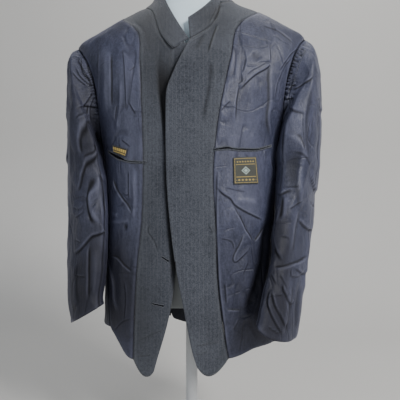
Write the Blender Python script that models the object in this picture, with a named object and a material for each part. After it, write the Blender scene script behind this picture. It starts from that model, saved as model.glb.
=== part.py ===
"""Sport coat, worn inside out on a limbless dress form with a pole and a round base.

The coat is a set of cloth walls cut as a tailor cuts them: facings, front, side and back
linings, two-piece sleeves and a turned-up collar. All the body pieces lie on one worn
surface, a stack of rounded rings from the hem to the collar, so neighbours meet at seams.

Frame: metres, +Z up, the coat faces -Y, +X is to the right of someone who looks at it.
The origin is the middle of the base's underside. Angles run round the body from the
middle of the front (0) over +X (90) to the middle of the back (180), and -X is negative.
"""

import math

import bpy
import bmesh
import numpy as np
from mathutils import Vector
from mathutils.bvhtree import BVHTree

# Cloth and clearances
CLOTH_WALL = 0.0020
SLEEVE_WALL = 0.0018
SEAM_SET_BACK = 0.0002
SLEEVE_SET_BACK = 0.0008
LAYER_GAP = 0.0003
FRONT_LIFT = 0.0028
LIFT_FULL_AT = math.radians(0.0)
LIFT_GONE_AT = math.radians(15.0)
SHARP_ANGLE = math.radians(40.0)

# Rows and columns of the panels
SKIRT_ROWS = 18
CHEST_ROWS = 8
LINING_COLUMNS = 9
GORGE_COLUMNS = 7
LAPEL_ROWS = 5
LEFT_LAPEL_TOP_COLUMNS = 2
SIDE_COLUMNS = 5
BACK_NECK_COLUMNS = 4
COLLAR_ROWS = 3
SLEEVE_ROWS = 17
EVEN_PASSES = 150

# Shoulders slope down to -X by this much for each metre across
LEAN = 0.045
LEAN_FROM = 0.45
LEAN_OVER = 0.30

RINGS = np.array((
    # level, half_width, front, back, power
    (0.150, 0.190, 0.128, 0.120, 2.5),
    (0.300, 0.186, 0.138, 0.122, 2.5),
    (0.470, 0.179, 0.140, 0.118, 2.5),
    (0.600, 0.186, 0.140, 0.122, 2.45),
    (0.700, 0.204, 0.141, 0.130, 2.4),
    (0.780, 0.228, 0.134, 0.130, 2.3),
    (0.820, 0.240, 0.122, 0.122, 2.15),
    (0.847, 0.247, 0.110, 0.110, 2.0),
    (0.867, 0.214, 0.102, 0.102, 2.0),
    (0.882, 0.189, 0.094, 0.096, 2.0),
    (0.900, 0.154, 0.085, 0.089, 2.0),
    (0.917, 0.119, 0.077, 0.082, 2.0),
    (0.928, 0.095, 0.072, 0.077, 2.0),
    (0.942, 0.084, 0.069, 0.073, 2.0),
    (0.970, 0.079, 0.070, 0.070, 2.0),
    (1.030, 0.086, 0.078, 0.076, 2.0),
))
TIP_LEVEL = 0.847

# The armhole: an egg-shaped seam round the end of each shoulder
ARMHOLE_MIDDLE = 0.7335
ARMHOLE_HALF_HEIGHT = 0.1135
ARMHOLE_FRONT_SWING = 21.0
ARMHOLE_BACK_SWING = 24.0
ARMHOLE_FULLNESS = 1.2
FRONT_SIDE_SEAM = 72.0
BACK_SIDE_SEAM = 112.0

# The waist, where the side seams draw in
WAIST_LEVEL = 0.45
FRONT_SEAM_AT_WAIST = 68.0
BACK_SEAM_AT_WAIST = 111.0

# Outlines of the fronts, as seen from the front, from the hem upwards
RIGHT_FRONT_EDGE = (
    # x, z
    (0.0123, 0.194),
    (0.0030, 0.222),
    (-0.0120, 0.303),
    (-0.0289, 0.394),
    (-0.0421, 0.510),
    (-0.0458, 0.604),
    (-0.0455, 0.716),
)
RIGHT_LAPEL_EDGE = (
    # x, z
    (-0.0455, 0.716),
    (-0.0240, 0.768),
    (-0.0011, 0.818),
)
RIGHT_FACING_HEM = (
    # x, z
    (0.0123, 0.194),
    (0.0220, 0.180),
    (0.0355, 0.174),
    (0.0490, 0.180),
    (0.0598, 0.191),
    (0.0722, 0.207),
)
RIGHT_FACING_SEAM = (
    # x, z
    (0.0722, 0.207),
    (0.0634, 0.259),
    (0.0519, 0.346),
    (0.0481, 0.450),
    (0.0420, 0.546),
    (0.0450, 0.606),
    (0.0537, 0.679),
    (0.0641, 0.728),
    (0.0768, 0.783),
    (0.0935, 0.857),
)
RIGHT_GORGE = (
    # x, z
    (0.0008, 0.820),
    (0.0413, 0.850),
    (0.0534, 0.874),
    (0.0645, 0.9144),
)
RIGHT_LINING_HEM = (
    # x, z
    (0.0722, 0.207),
    (0.0944, 0.212),
    (0.1244, 0.224),
    (0.1641, 0.226),
)
LEFT_FRONT_EDGE = (
    # x, z
    (-0.0696, 0.184),
    (-0.0636, 0.206),
    (-0.0470, 0.261),
    (-0.0346, 0.318),
    (-0.0270, 0.394),
    (-0.0157, 0.529),
    (-0.0138, 0.660),
)
LEFT_LAPEL_EDGE = (
    # x, z
    (-0.0138, 0.660),
    (-0.0110, 0.735),
    (-0.0066, 0.785),
)
LEFT_FACING_HEM = (
    # x, z
    (-0.0696, 0.184),
    (-0.0745, 0.176),
    (-0.0833, 0.171),
    (-0.0951, 0.176),
    (-0.1109, 0.202),
)
LEFT_FACING_SEAM = (
    # x, z
    (-0.1109, 0.202),
    (-0.1068, 0.290),
    (-0.1011, 0.394),
    (-0.0921, 0.474),
    (-0.0901, 0.590),
    (-0.0937, 0.728),
    (-0.0984, 0.783),
    (-0.1048, 0.846),
)
LEFT_GORGE = (
    # x, z
    (-0.0333, 0.799),
    (-0.0654, 0.836),
    (-0.0766, 0.8965),
)
LEFT_LINING_HEM = (
    # x, z
    (-0.1109, 0.202),
    (-0.1254, 0.208),
    (-0.1469, 0.241),
    (-0.1613, 0.258),
)
COLLAR_END_RIGHT = (-0.0055, 0.866)
COLLAR_END_LEFT = (-0.0030, 0.820)
COLLAR_EDGE_RIGHT = (
    # angle, level
    (24.0, 0.905),
    (55.0, 0.950),
    (95.0, 0.985),
    (140.0, 1.012),
    (180.0, 1.020),
)
COLLAR_EDGE_LEFT = (
    # angle, level
    (-17.0, 0.869),
    (-35.5, 0.915),
    (-60.0, 0.955),
    (-95.0, 0.985),
    (-140.0, 1.012),
    (-180.0, 1.020),
)
NECK_POINT = 0.927
BACK_NECK = (
    # angle, level
    (90.0, 0.927),
    (125.0, 0.936),
    (180.0, 0.942),
)
SHOULDER_FACING_LEVEL = 0.917

# Hems and seams of the sides and the back
RIGHT_SIDE_HEM = (
    # angle, level
    (66.0, 0.226),
    (88.0, 0.214),
    (110.0, 0.212),
)
RIGHT_BACK_HEM = (
    # angle, level
    (110.0, 0.212),
    (150.0, 0.212),
    (182.0, 0.212),
    (198.0, 0.232),
)
LEFT_SIDE_HEM = (
    # angle, level
    (-66.0, 0.258),
    (-88.0, 0.252),
    (-110.0, 0.240),
)
LEFT_BACK_HEM = (
    # angle, level
    (-110.0, 0.240),
    (-130.0, 0.230),
    (-156.0, 0.228),
)
CENTRE_BACK_RIGHT = (
    # angle, level
    (198.0, 0.232),
    (200.0, 0.260),
    (190.0, 0.360),
    (183.0, 0.440),
    (180.0, 0.600),
    (180.0, 0.942),
)
CENTRE_BACK_LEFT = (
    # angle, level
    (-156.0, 0.228),
    (-158.5, 0.260),
    (-169.0, 0.360),
    (-177.0, 0.440),
    (-180.0, 0.600),
    (-180.0, 0.942),
)

# Folds rise over the first share of their length and run out over the last
FOLD_RISES_OVER = 0.25
FOLD_RUNS_OUT_OVER = 0.15
FOLD_END_HEIGHT = 0.25

BODY_FOLDS = (
    # angle_from, level_from, angle_to, level_to, width, rise
    (24.5, 0.560, 31.0, 0.225, 0.009, 0.0035),
    (44.0, 0.455, 40.0, 0.260, 0.014, 0.0035),
    (57.0, 0.480, 52.0, 0.230, 0.012, 0.0040),
    (60.0, 0.810, 61.0, 0.655, 0.012, 0.0035),
    (36.0, 0.715, 56.0, 0.775, 0.009, 0.0025),
    (-62.0, 0.850, -64.0, 0.760, 0.011, 0.0030),
    (-50.0, 0.800, -47.0, 0.650, 0.009, 0.0025),
    (-62.0, 0.500, -58.0, 0.330, 0.011, 0.0035),
    (-52.0, 0.460, -49.0, 0.250, 0.011, 0.0035),
    (-41.0, 0.400, -44.5, 0.240, 0.008, 0.0025),
    (-100.0, 0.520, -100.0, 0.250, 0.018, 0.0050),
    (98.0, 0.500, 98.0, 0.220, 0.018, 0.0050),
    (-128.0, 0.560, -126.0, 0.235, 0.018, 0.0060),
    (128.0, 0.540, 128.0, 0.220, 0.018, 0.0060),
    (150.0, 0.500, 154.0, 0.220, 0.016, 0.0050),
    (-148.0, 0.500, -146.0, 0.235, 0.014, 0.0045),
    (176.0, 0.925, 176.0, 0.640, 0.009, 0.0040),
    (-138.0, 0.820, -150.0, 0.700, 0.014, 0.0035),
    (138.0, 0.820, 150.0, 0.700, 0.014, 0.0035),
)

# Sleeve sections, each across (outer to inner) and deep (front to back)
LEFT_SLEEVE = np.array((
    # station, outer_x, outer_z, inner_x, inner_z, middle_y, half_depth, turn, front_rise
    (1.0, -0.2575, 0.826, -0.2000, 0.620, -0.004, 0.084, 2.0, 0.0),
    (2.0, -0.2660, 0.792, -0.2015, 0.598, -0.008, 0.090, 8.0, 0.0),
    (3.0, -0.2680, 0.735, -0.1985, 0.560, -0.014, 0.093, 14.0, 0.0),
    (4.0, -0.2660, 0.660, -0.1960, 0.520, -0.020, 0.092, 18.0, 0.0),
    (5.0, -0.2605, 0.560, -0.1930, 0.470, -0.028, 0.088, 22.0, 0.0),
    (6.0, -0.2560, 0.460, -0.1900, 0.410, -0.040, 0.082, 26.0, 0.0),
    (7.0, -0.2510, 0.370, -0.1870, 0.355, -0.052, 0.072, 28.0, 0.004),
    (8.0, -0.2455, 0.300, -0.1850, 0.312, -0.064, 0.062, 30.0, 0.014),
    (8.6, -0.2400, 0.266, -0.1800, 0.296, -0.070, 0.058, 30.0, 0.020),
))
RIGHT_SLEEVE = np.array((
    # station, outer_x, outer_z, inner_x, inner_z, middle_y, half_depth, turn, front_rise
    (1.0, 0.2590, 0.844, 0.2020, 0.634, -0.004, 0.084, 2.0, 0.0),
    (2.0, 0.2710, 0.815, 0.2035, 0.610, -0.008, 0.090, 8.0, 0.0),
    (3.0, 0.2765, 0.765, 0.2005, 0.574, -0.014, 0.094, 14.0, 0.0),
    (4.0, 0.2760, 0.680, 0.1975, 0.535, -0.020, 0.093, 18.0, 0.0),
    (5.0, 0.2645, 0.575, 0.1930, 0.485, -0.036, 0.088, 24.0, 0.0),
    (6.0, 0.2405, 0.480, 0.1820, 0.430, -0.064, 0.080, 32.0, 0.0),
    (7.0, 0.2165, 0.395, 0.1680, 0.370, -0.100, 0.071, 38.0, 0.0),
    (8.0, 0.1965, 0.315, 0.1500, 0.320, -0.132, 0.064, 42.0, 0.004),
    (8.7, 0.1845, 0.250, 0.1400, 0.292, -0.146, 0.061, 42.0, 0.008),
))
LEFT_SLEEVE_FOLDS = (
    # turn_from, station_from, turn_to, station_to, width, rise
    (20.0, 5.7, 120.0, 5.2, 0.012, 0.0040),
    (60.0, 2.2, 110.0, 4.0, 0.011, 0.0030),
    (30.0, 6.6, 90.0, 7.3, 0.010, 0.0030),
    (300.0, 5.2, 240.0, 5.6, 0.012, 0.0040),
    (60.0, 3.4, 20.0, 4.8, 0.012, 0.0030),
)
RIGHT_SLEEVE_FOLDS = (
    # turn_from, station_from, turn_to, station_to, width, rise
    (30.0, 5.9, 120.0, 5.5, 0.012, 0.0045),
    (40.0, 6.8, 100.0, 6.2, 0.011, 0.0040),
    (20.0, 7.2, 80.0, 7.7, 0.011, 0.0035),
    (70.0, 1.8, 110.0, 3.6, 0.010, 0.0035),
    (300.0, 5.6, 240.0, 6.0, 0.012, 0.0040),
    (50.0, 3.2, 20.0, 4.6, 0.012, 0.0030),
)

# Inner pockets and the two label places, as seen from the front
LEFT_POCKET = (
    # x, z
    (-0.165, 0.6035),
    (-0.117, 0.5830),
    (-0.0813, 0.5781),
)
RIGHT_POCKET = (
    # x, z
    (0.0430, 0.6010),
    (0.1239, 0.6044),
    (0.1600, 0.6150),
)
WELT_HEIGHT = 0.007
WELT_THICKNESS = 0.0014
WELT_COLUMNS = 10
LEFT_LABEL = ((-0.1520, 0.6110), (-0.1172, 0.6030), (-0.1172, 0.6190), (-0.1520, 0.6270))
RIGHT_LABEL = ((0.0812, 0.5395), (0.1304, 0.5420), (0.1256, 0.5935), (0.0804, 0.5900))
LABEL_THICKNESS = 0.0008
LABEL_ROWS = 3
LABEL_COLUMNS = 4
LAID_GAP = 0.0005

# Front buttons, on the hidden face of the front that lies on top
BUTTON_HEIGHTS = (0.392, 0.312)
BUTTON_X = 0.004
BUTTON_RADIUS = 0.010
BUTTON_THICKNESS = 0.0035
BUTTON_GAP = 0.0007
BUTTON_EDGE = 0.001
BUTTON_CROWN = 0.0015
BUTTON_SIDES = 20

# The dress form, which the coat sits on along the ridge of each shoulder
FORM_FOLLOWS = np.array((
    # level, inset from the coat's outer face
    (0.305, 0.020),
    (0.312, 0.014),
    (0.340, 0.012),
    (0.470, 0.010),
    (0.600, 0.009),
    (0.700, 0.009),
    (0.780, 0.010),
    (0.820, 0.011),
    (0.842, 0.011),
    (0.855, 0.011),
    (0.867, 0.011),
    (0.882, 0.011),
    (0.900, 0.011),
    (0.914, 0.010),
    (0.922, 0.010),
))
FORM_SEAT = 0.0027
FORM_SEAT_FROM = 0.860
FORM_SEAT_TO = 0.890
FORM_SEAT_WIDTH = 0.17
FORM_NECK = (
    # level, half_width, front, back
    (0.940, 0.068, 0.060, 0.062),
    (0.958, 0.060, 0.055, 0.056),
    (1.000, 0.057, 0.054, 0.054),
    (1.036, 0.057, 0.055, 0.055),
    (1.044, 0.052, 0.050, 0.050),
)
FORM_BOTTOM = 0.300
FORM_BOTTOM_EDGE = 0.004
FORM_BOTTOM_SHARE = 0.96
FORM_SIDES = 36
POLE_RADIUS = 0.0125
POLE_SIDES = 20
BASE_RADIUS = 0.150
BASE_THICKNESS = 0.012
BASE_BEVEL = 0.002
BASE_SIDES = 48

MATERIALS = {
    # name: (colour, roughness, metallic)
    "facing_wool": ((0.085, 0.097, 0.120), 0.85, 0.0),
    "lining_satin": ((0.060, 0.068, 0.100), 0.38, 0.0),
    "label_weave": ((0.035, 0.037, 0.030), 0.60, 0.0),
    "button_resin": ((0.020, 0.022, 0.030), 0.30, 0.0),
    "form_white": ((0.660, 0.740, 0.790), 0.45, 0.0),
    "stand_white": ((0.640, 0.650, 0.660), 0.40, 0.0),
}


def clear_scene():
    for item in list(bpy.data.objects):
        bpy.data.objects.remove(item, do_unlink=True)


def material(name):
    found = bpy.data.materials.get(name)
    if found:
        return found
    colour, roughness, metallic = MATERIALS[name]
    made = bpy.data.materials.new(name)
    made.use_nodes = True
    shader = made.node_tree.nodes["Principled BSDF"]
    shader.inputs["Base Color"].default_value = (*colour, 1.0)
    shader.inputs["Roughness"].default_value = roughness
    shader.inputs["Metallic"].default_value = metallic
    return made


def eased(table, column, where):
    """Read one column of a table as a smooth curve that never overshoots its rows."""
    x = table[:, 0]
    y = table[:, column]
    step = np.diff(x)
    rate = np.diff(y) / step
    slope = np.concatenate(([rate[0]], np.zeros(len(x) - 2), [rate[-1]]))
    for i in range(1, len(x) - 1):
        if rate[i - 1] * rate[i] > 0:
            before = 2 * step[i] + step[i - 1]
            after = step[i] + 2 * step[i - 1]
            slope[i] = (before + after) / (before / rate[i - 1] + after / rate[i])
    at = np.clip(np.asarray(where, float), x[0], x[-1])
    k = np.clip(np.searchsorted(x, at, side="right") - 1, 0, len(x) - 2)
    t = (at - x[k]) / step[k]
    hold = 2 * t**3 - 3 * t**2
    return ((hold + 1) * y[k] - hold * y[k + 1]
            + (t**3 - 2 * t**2 + t) * step[k] * slope[k]
            + (t**3 - t**2) * step[k] * slope[k + 1])


def smooth_step(t):
    t = np.clip(t, 0.0, 1.0)
    return t * t * (3 - 2 * t)


def unit(vectors):
    return vectors / np.maximum(np.linalg.norm(vectors, axis=-1, keepdims=True), 1e-12)


def lean_at(level):
    return LEAN * smooth_step((np.asarray(level) - LEAN_FROM) / LEAN_OVER)


def body_point(angle, level):
    """The worn surface without folds, for arrays of angles and levels."""
    half_width = eased(RINGS, 1, level)
    deep = np.where(np.cos(angle) > 0, eased(RINGS, 2, level), eased(RINGS, 3, level))
    power = eased(RINGS, 4, level)
    across = np.abs(np.sin(angle)) / half_width
    along = np.abs(np.cos(angle)) / deep
    radius = (across**power + along**power) ** (-1 / power)
    x = radius * np.sin(angle)
    return np.stack((x, -radius * np.cos(angle), level + lean_at(level) * x), axis=-1)


def body_normal(angle, level):
    tiny_angle = 0.002
    tiny_level = 0.0005
    round_it = body_point(angle + tiny_angle, level) - body_point(angle - tiny_angle, level)
    up_it = body_point(angle, level + tiny_level) - body_point(angle, level - tiny_level)
    return unit(np.cross(round_it, up_it))


def from_front(x, z):
    """Angle and level of the surface point that shows at x, z from the front."""
    level = z
    for _ in range(6):
        level = z - float(lean_at(level)) * x
    half_width, front, power = (float(eased(RINGS, c, level)) for c in (1, 2, 4))
    share = min(abs(x) / half_width, 0.999)
    y = front * (1 - share**power) ** (1 / power)
    return math.atan2(x, y), level


def from_front_rows(rows):
    return [from_front(x, z) for x, z in rows]


def from_degrees(rows):
    return [(math.radians(angle), level) for angle, level in rows]


def armhole_point(side, turn):
    """Armhole seam at a turn from the shoulder tip (0) over the front to the underarm (180)."""
    turn = math.radians(turn)
    swing = ARMHOLE_FRONT_SWING if math.sin(turn) > 0 else -ARMHOLE_BACK_SWING
    angle = 90.0 - swing * abs(math.sin(turn)) ** ARMHOLE_FULLNESS
    return side * math.radians(angle), ARMHOLE_MIDDLE + ARMHOLE_HALF_HEIGHT * math.cos(turn)


def armhole_turn_at(angle):
    """Turn, below the middle of the armhole, where the seam crosses an angle in degrees."""
    swing = ARMHOLE_FRONT_SWING if angle < 90 else ARMHOLE_BACK_SWING
    turn = math.degrees(math.asin((abs(90 - angle) / swing) ** (1 / ARMHOLE_FULLNESS)))
    return 180 - turn if angle < 90 else 180 + turn


def armhole_rows(side, turn_from, turn_to, steps=14):
    return [armhole_point(side, turn_from + (turn_to - turn_from) * i / steps)
            for i in range(steps + 1)]


def smooth_curve(rows, parts=12):
    """A Catmull-Rom curve through rows of angle and level."""
    p = np.array(rows, float)
    if len(p) == 2:
        t = np.linspace(0, 1, parts + 1)[:, None]
        return p[0] * (1 - t) + p[1] * t
    p = np.vstack((2 * p[0] - p[1], p, 2 * p[-1] - p[-2]))
    out = []
    for i in range(1, len(p) - 2):
        t = np.linspace(0, 1, parts, endpoint=False)[:, None]
        out.append(0.5 * (2 * p[i] + (p[i + 1] - p[i - 1]) * t
                          + (2 * p[i - 1] - 5 * p[i] + 4 * p[i + 1] - p[i + 2]) * t**2
                          + (3 * p[i] - p[i - 1] - 3 * p[i + 1] + p[i + 2]) * t**3))
    out.append(p[-2][None, :])
    return np.vstack(out)


def spaced(rows, steps):
    """Points at equal distances over the surface along a smooth curve through the rows."""
    curve = smooth_curve(rows)
    points = body_point(curve[:, 0], curve[:, 1])
    run = np.concatenate(([0], np.cumsum(np.linalg.norm(np.diff(points, axis=0), axis=1))))
    at = np.linspace(0, run[-1], steps + 1)
    return np.stack([np.interp(at, run, curve[:, c]) for c in (0, 1)], axis=1)


def chained(*stretches):
    """One edge from stretches that each start where the last one ended."""
    return np.vstack([stretches[0]] + [stretch[1:] for stretch in stretches[1:]])


def coons(hem, top, first, last):
    """Fill the space between four edges, evenly; rows run from the hem up, columns across."""
    rows = len(first)
    columns = len(hem)
    v = np.linspace(0, 1, rows)[:, None, None]
    u = np.linspace(0, 1, columns)[None, :, None]
    ruled = (1 - v) * hem[None] + v * top[None] + (1 - u) * first[:, None] + u * last[:, None]
    corners = ((1 - v) * ((1 - u) * hem[0] + u * hem[-1])
               + v * ((1 - u) * top[0] + u * top[-1]))
    return evened(ruled - corners)


def evened(grid):
    """Even out a grid on the surface without letting its lines cross (Winslow's smoothing)."""
    grid = grid.copy()
    point = body_point(grid[..., 0], grid[..., 1])
    for _ in range(EVEN_PASSES):
        across = (point[1:-1, 2:] - point[1:-1, :-2]) / 2
        up = (point[2:, 1:-1] - point[:-2, 1:-1]) / 2
        skew = (point[2:, 2:] - point[2:, :-2] - point[:-2, 2:] + point[:-2, :-2]) / 4
        up_size = (up * up).sum(axis=-1, keepdims=True)
        across_size = (across * across).sum(axis=-1, keepdims=True)
        both = (up * across).sum(axis=-1, keepdims=True)
        moved = (up_size * (point[1:-1, 2:] + point[1:-1, :-2])
                 + across_size * (point[2:, 1:-1] + point[:-2, 1:-1])
                 - 2 * both * skew) / (2 * (up_size + across_size))
        turn = np.arctan2(moved[..., 0], -moved[..., 1]) - grid[1:-1, 1:-1, 0]
        turn = (turn + math.pi) % (2 * math.pi) - math.pi
        grid[1:-1, 1:-1, 0] += turn
        level = grid[1:-1, 1:-1, 1]
        grid[1:-1, 1:-1, 1] = moved[..., 2] - lean_at(level) * moved[..., 0]
        point[1:-1, 1:-1] = body_point(grid[1:-1, 1:-1, 0], grid[1:-1, 1:-1, 1])
    return grid


def fold_rise(points, paths):
    """How far folds lift each point; each path is its points, its width and its rise."""
    rise = np.zeros(points.shape[:-1])
    for path, width, height in paths:
        nearest = np.full(points.shape[:-1], 1e9)
        along = np.zeros(points.shape[:-1])
        for i in range(len(path) - 1):
            run = path[i + 1] - path[i]
            t = np.clip(((points - path[i]) @ run) / (run @ run), 0, 1)
            away = np.linalg.norm(points - path[i] - t[..., None] * run, axis=-1)
            closer = away < nearest
            nearest = np.where(closer, away, nearest)
            along = np.where(closer, (i + t) / (len(path) - 1), along)
        fade = (smooth_step(along / FOLD_RISES_OVER)
                * smooth_step((1 - along) / FOLD_RUNS_OUT_OVER + FOLD_END_HEIGHT))
        rise += height * fade * np.exp(-(nearest / width) ** 2)
    return rise


def body_fold_paths():
    paths = []
    for angle_from, level_from, angle_to, level_to, width, rise in BODY_FOLDS:
        t = np.linspace(0, 1, 7)
        angle = np.radians(angle_from + (angle_to - angle_from) * t)
        paths.append((body_point(angle, level_from + (level_to - level_from) * t), width, rise))
    return paths


def worn(grid, on_top, paths):
    """Outer and inner faces of a body piece from its grid of angles and levels."""
    angle = grid[..., 0]
    level = grid[..., 1]
    point = body_point(angle, level)
    normal = body_normal(angle, level)
    out = fold_rise(point, paths)
    if on_top:
        near_front = np.abs(angle) < math.pi / 2
        fade = 1 - smooth_step((angle - LIFT_FULL_AT) / (LIFT_GONE_AT - LIFT_FULL_AT))
        out = out + FRONT_LIFT * fade * near_front
    outer = point + normal * out[..., None]
    return outer, outer - normal * CLOTH_WALL


def set_back(grid):
    """Draw a grid's border in, so that neighbours keep a gap at their seam."""
    moved = grid.copy()
    moved[0] += unit(grid[1] - grid[0]) * SEAM_SET_BACK
    moved[-1] += unit(grid[-2] - grid[-1]) * SEAM_SET_BACK
    moved[:, 0] += unit(grid[:, 1] - grid[:, 0]) * SEAM_SET_BACK
    moved[:, -1] += unit(grid[:, -2] - grid[:, -1]) * SEAM_SET_BACK
    return moved


def mesh_object(name, points, faces, material_name):
    bm = bmesh.new()
    verts = [bm.verts.new(Vector(point)) for point in points]
    for face in faces:
        bm.faces.new([verts[i] for i in face])
    bmesh.ops.recalc_face_normals(bm, faces=bm.faces)
    mesh = bpy.data.meshes.new(name)
    bm.to_mesh(mesh)
    bm.free()
    mesh.shade_smooth()
    mesh.set_sharp_from_angle(angle=SHARP_ANGLE)
    mesh.materials.append(material(material_name))
    made = bpy.data.objects.new(name, mesh)
    bpy.context.scene.collection.objects.link(made)
    return made


def cloth_piece(name, outer, inner, material_name):
    """A closed wall between two grids of points."""
    rows, columns = outer.shape[:2]
    count = rows * columns

    def index(row, column, face):
        return face * count + row * columns + column

    faces = []
    for i in range(rows - 1):
        for j in range(columns - 1):
            corners = ((i, j), (i, j + 1), (i + 1, j + 1), (i + 1, j))
            faces.append([index(r, c, 0) for r, c in corners])
            faces.append([index(r, c, 1) for r, c in reversed(corners)])
    border = ([(0, j) for j in range(columns)]
              + [(i, columns - 1) for i in range(1, rows)]
              + [(rows - 1, j) for j in range(columns - 2, -1, -1)]
              + [(i, 0) for i in range(rows - 2, 0, -1)])
    for (r1, c1), (r2, c2) in zip(border, border[1:] + border[:1]):
        faces.append([index(r1, c1, 0), index(r1, c1, 1), index(r2, c2, 1), index(r2, c2, 0)])
    points = np.vstack((outer.reshape(-1, 3), inner.reshape(-1, 3)))
    return mesh_object(name, points, faces, material_name)


def body_piece(name, grid, on_top, paths, material_name):
    outer, inner = worn(grid, on_top, paths)
    outer = set_back(outer)
    inner = set_back(inner)
    cloth_piece(name, outer, inner, material_name)
    return outer, inner


def shoulder(side, level_from, level_to, steps):
    """The shoulder seam, up its ridge between two levels."""
    angle = side * math.pi / 2
    return spaced([(angle, level_from), (angle, level_to)], steps)


def side_edges(side):
    """The seams that one side's pieces share, each sampled once."""
    right = side > 0
    turn_front = armhole_turn_at(FRONT_SIDE_SEAM)
    turn_back = armhole_turn_at(BACK_SIDE_SEAM)
    edge = {}
    edge["armhole_front"] = spaced(armhole_rows(side, turn_front, 0.0), CHEST_ROWS)
    edge["armhole_under"] = spaced(armhole_rows(side, turn_front, turn_back), SIDE_COLUMNS)
    edge["armhole_back"] = spaced(armhole_rows(side, turn_back, 360.0), CHEST_ROWS)
    lining_hem = from_front_rows(RIGHT_LINING_HEM if right else LEFT_LINING_HEM)
    side_hem = from_degrees(RIGHT_SIDE_HEM if right else LEFT_SIDE_HEM)
    back_hem = from_degrees(RIGHT_BACK_HEM if right else LEFT_BACK_HEM)
    side_hem[0] = lining_hem[-1]
    edge["lining_hem"] = spaced(lining_hem, LINING_COLUMNS)
    edge["side_hem"] = spaced(side_hem, SIDE_COLUMNS)
    edge["back_hem"] = spaced(back_hem, LINING_COLUMNS + 1 + BACK_NECK_COLUMNS)
    front_waist = (side * math.radians(FRONT_SEAM_AT_WAIST), WAIST_LEVEL)
    back_waist = (side * math.radians(BACK_SEAM_AT_WAIST), WAIST_LEVEL)
    edge["side_front"] = spaced([lining_hem[-1], front_waist, edge["armhole_front"][0]],
                                SKIRT_ROWS)
    edge["side_back"] = spaced([side_hem[-1], back_waist, edge["armhole_back"][0]], SKIRT_ROWS)
    centre = CENTRE_BACK_RIGHT if right else CENTRE_BACK_LEFT
    edge["centre_back"] = spaced(from_degrees(centre), SKIRT_ROWS + CHEST_ROWS)
    edge["shoulder_lining"] = shoulder(side, SHOULDER_FACING_LEVEL, TIP_LEVEL, LINING_COLUMNS)
    edge["shoulder_facing"] = shoulder(side, NECK_POINT, SHOULDER_FACING_LEVEL, 1)
    back_neck = [(side * angle, level) for angle, level in from_degrees(BACK_NECK)]
    edge["back_neck"] = spaced(back_neck, BACK_NECK_COLUMNS)
    seam = from_front_rows(RIGHT_FACING_SEAM if right else LEFT_FACING_SEAM)
    seam.append((side * math.pi / 2, SHOULDER_FACING_LEVEL))
    edge["facing_seam"] = spaced(seam, SKIRT_ROWS + CHEST_ROWS)
    return edge


def facing_grid(side, edge):
    right = side > 0
    front = from_front_rows(RIGHT_FRONT_EDGE if right else LEFT_FRONT_EDGE)
    lapel = from_front_rows(RIGHT_LAPEL_EDGE if right else LEFT_LAPEL_EDGE)
    gorge = from_front_rows(RIGHT_GORGE if right else LEFT_GORGE)
    gorge.append((side * math.pi / 2, NECK_POINT))
    hem = from_front_rows(RIGHT_FACING_HEM if right else LEFT_FACING_HEM)
    front_rows = SKIRT_ROWS + CHEST_ROWS - LAPEL_ROWS
    first = chained(spaced(front, front_rows), spaced(lapel, LAPEL_ROWS))
    if right:
        gorge[0] = lapel[-1]
        edge["gorge"] = spaced(gorge, GORGE_COLUMNS)
        top = chained(edge["gorge"], edge["shoulder_facing"])
    else:
        edge["gorge"] = spaced(gorge, GORGE_COLUMNS - LEFT_LAPEL_TOP_COLUMNS)
        top = chained(spaced([lapel[-1], gorge[0]], LEFT_LAPEL_TOP_COLUMNS), edge["gorge"],
                      edge["shoulder_facing"])
    return coons(spaced(hem, len(top) - 1), top, first, edge["facing_seam"])


def lining_grid(edge):
    last = chained(edge["side_front"], edge["armhole_front"])
    return coons(edge["lining_hem"], edge["shoulder_lining"], edge["facing_seam"], last)


def side_grid(edge):
    return coons(edge["side_hem"], edge["armhole_under"], edge["side_front"], edge["side_back"])


def back_grid(edge):
    first = chained(edge["side_back"], edge["armhole_back"])
    top = chained(edge["shoulder_lining"][::-1], edge["shoulder_facing"][::-1],
                  edge["back_neck"])
    return coons(edge["back_hem"], top, first, edge["centre_back"])


def collar_piece(right_edge, left_edge, paths):
    """The turned-up collar, from its right end round the back of the neck to its left end."""
    half_right = chained(right_edge["gorge"], right_edge["back_neck"])
    half_left = chained(left_edge["gorge"], left_edge["back_neck"])[::-1].copy()
    half_left[:, 0] += 2 * math.pi
    bottom = chained(half_right, half_left)
    free_right = [from_front(*COLLAR_END_RIGHT)] + from_degrees(COLLAR_EDGE_RIGHT)
    free_left = [from_front(*COLLAR_END_LEFT)] + from_degrees(COLLAR_EDGE_LEFT)
    free_left = [(angle + 2 * math.pi, level) for angle, level in reversed(free_left)]
    top = chained(spaced(free_right, len(half_right) - 1), spaced(free_left, len(half_left) - 1))
    first = spaced([bottom[0], top[0]], COLLAR_ROWS)
    last = spaced([bottom[-1], top[-1]], COLLAR_ROWS)
    grid = coons(bottom, top, first, last)
    wrapped = grid.copy()
    wrapped[..., 0] = np.where(grid[..., 0] > math.pi, grid[..., 0] - 2 * math.pi, grid[..., 0])
    on_right = worn(wrapped, True, paths)
    on_left = worn(wrapped, False, paths)
    is_right = (grid[..., 0] < math.pi)[..., None]
    outer, inner = (np.where(is_right, r, l) for r, l in zip(on_right, on_left))
    cloth_piece("collar", set_back(outer), set_back(inner), "facing_wool")


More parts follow.
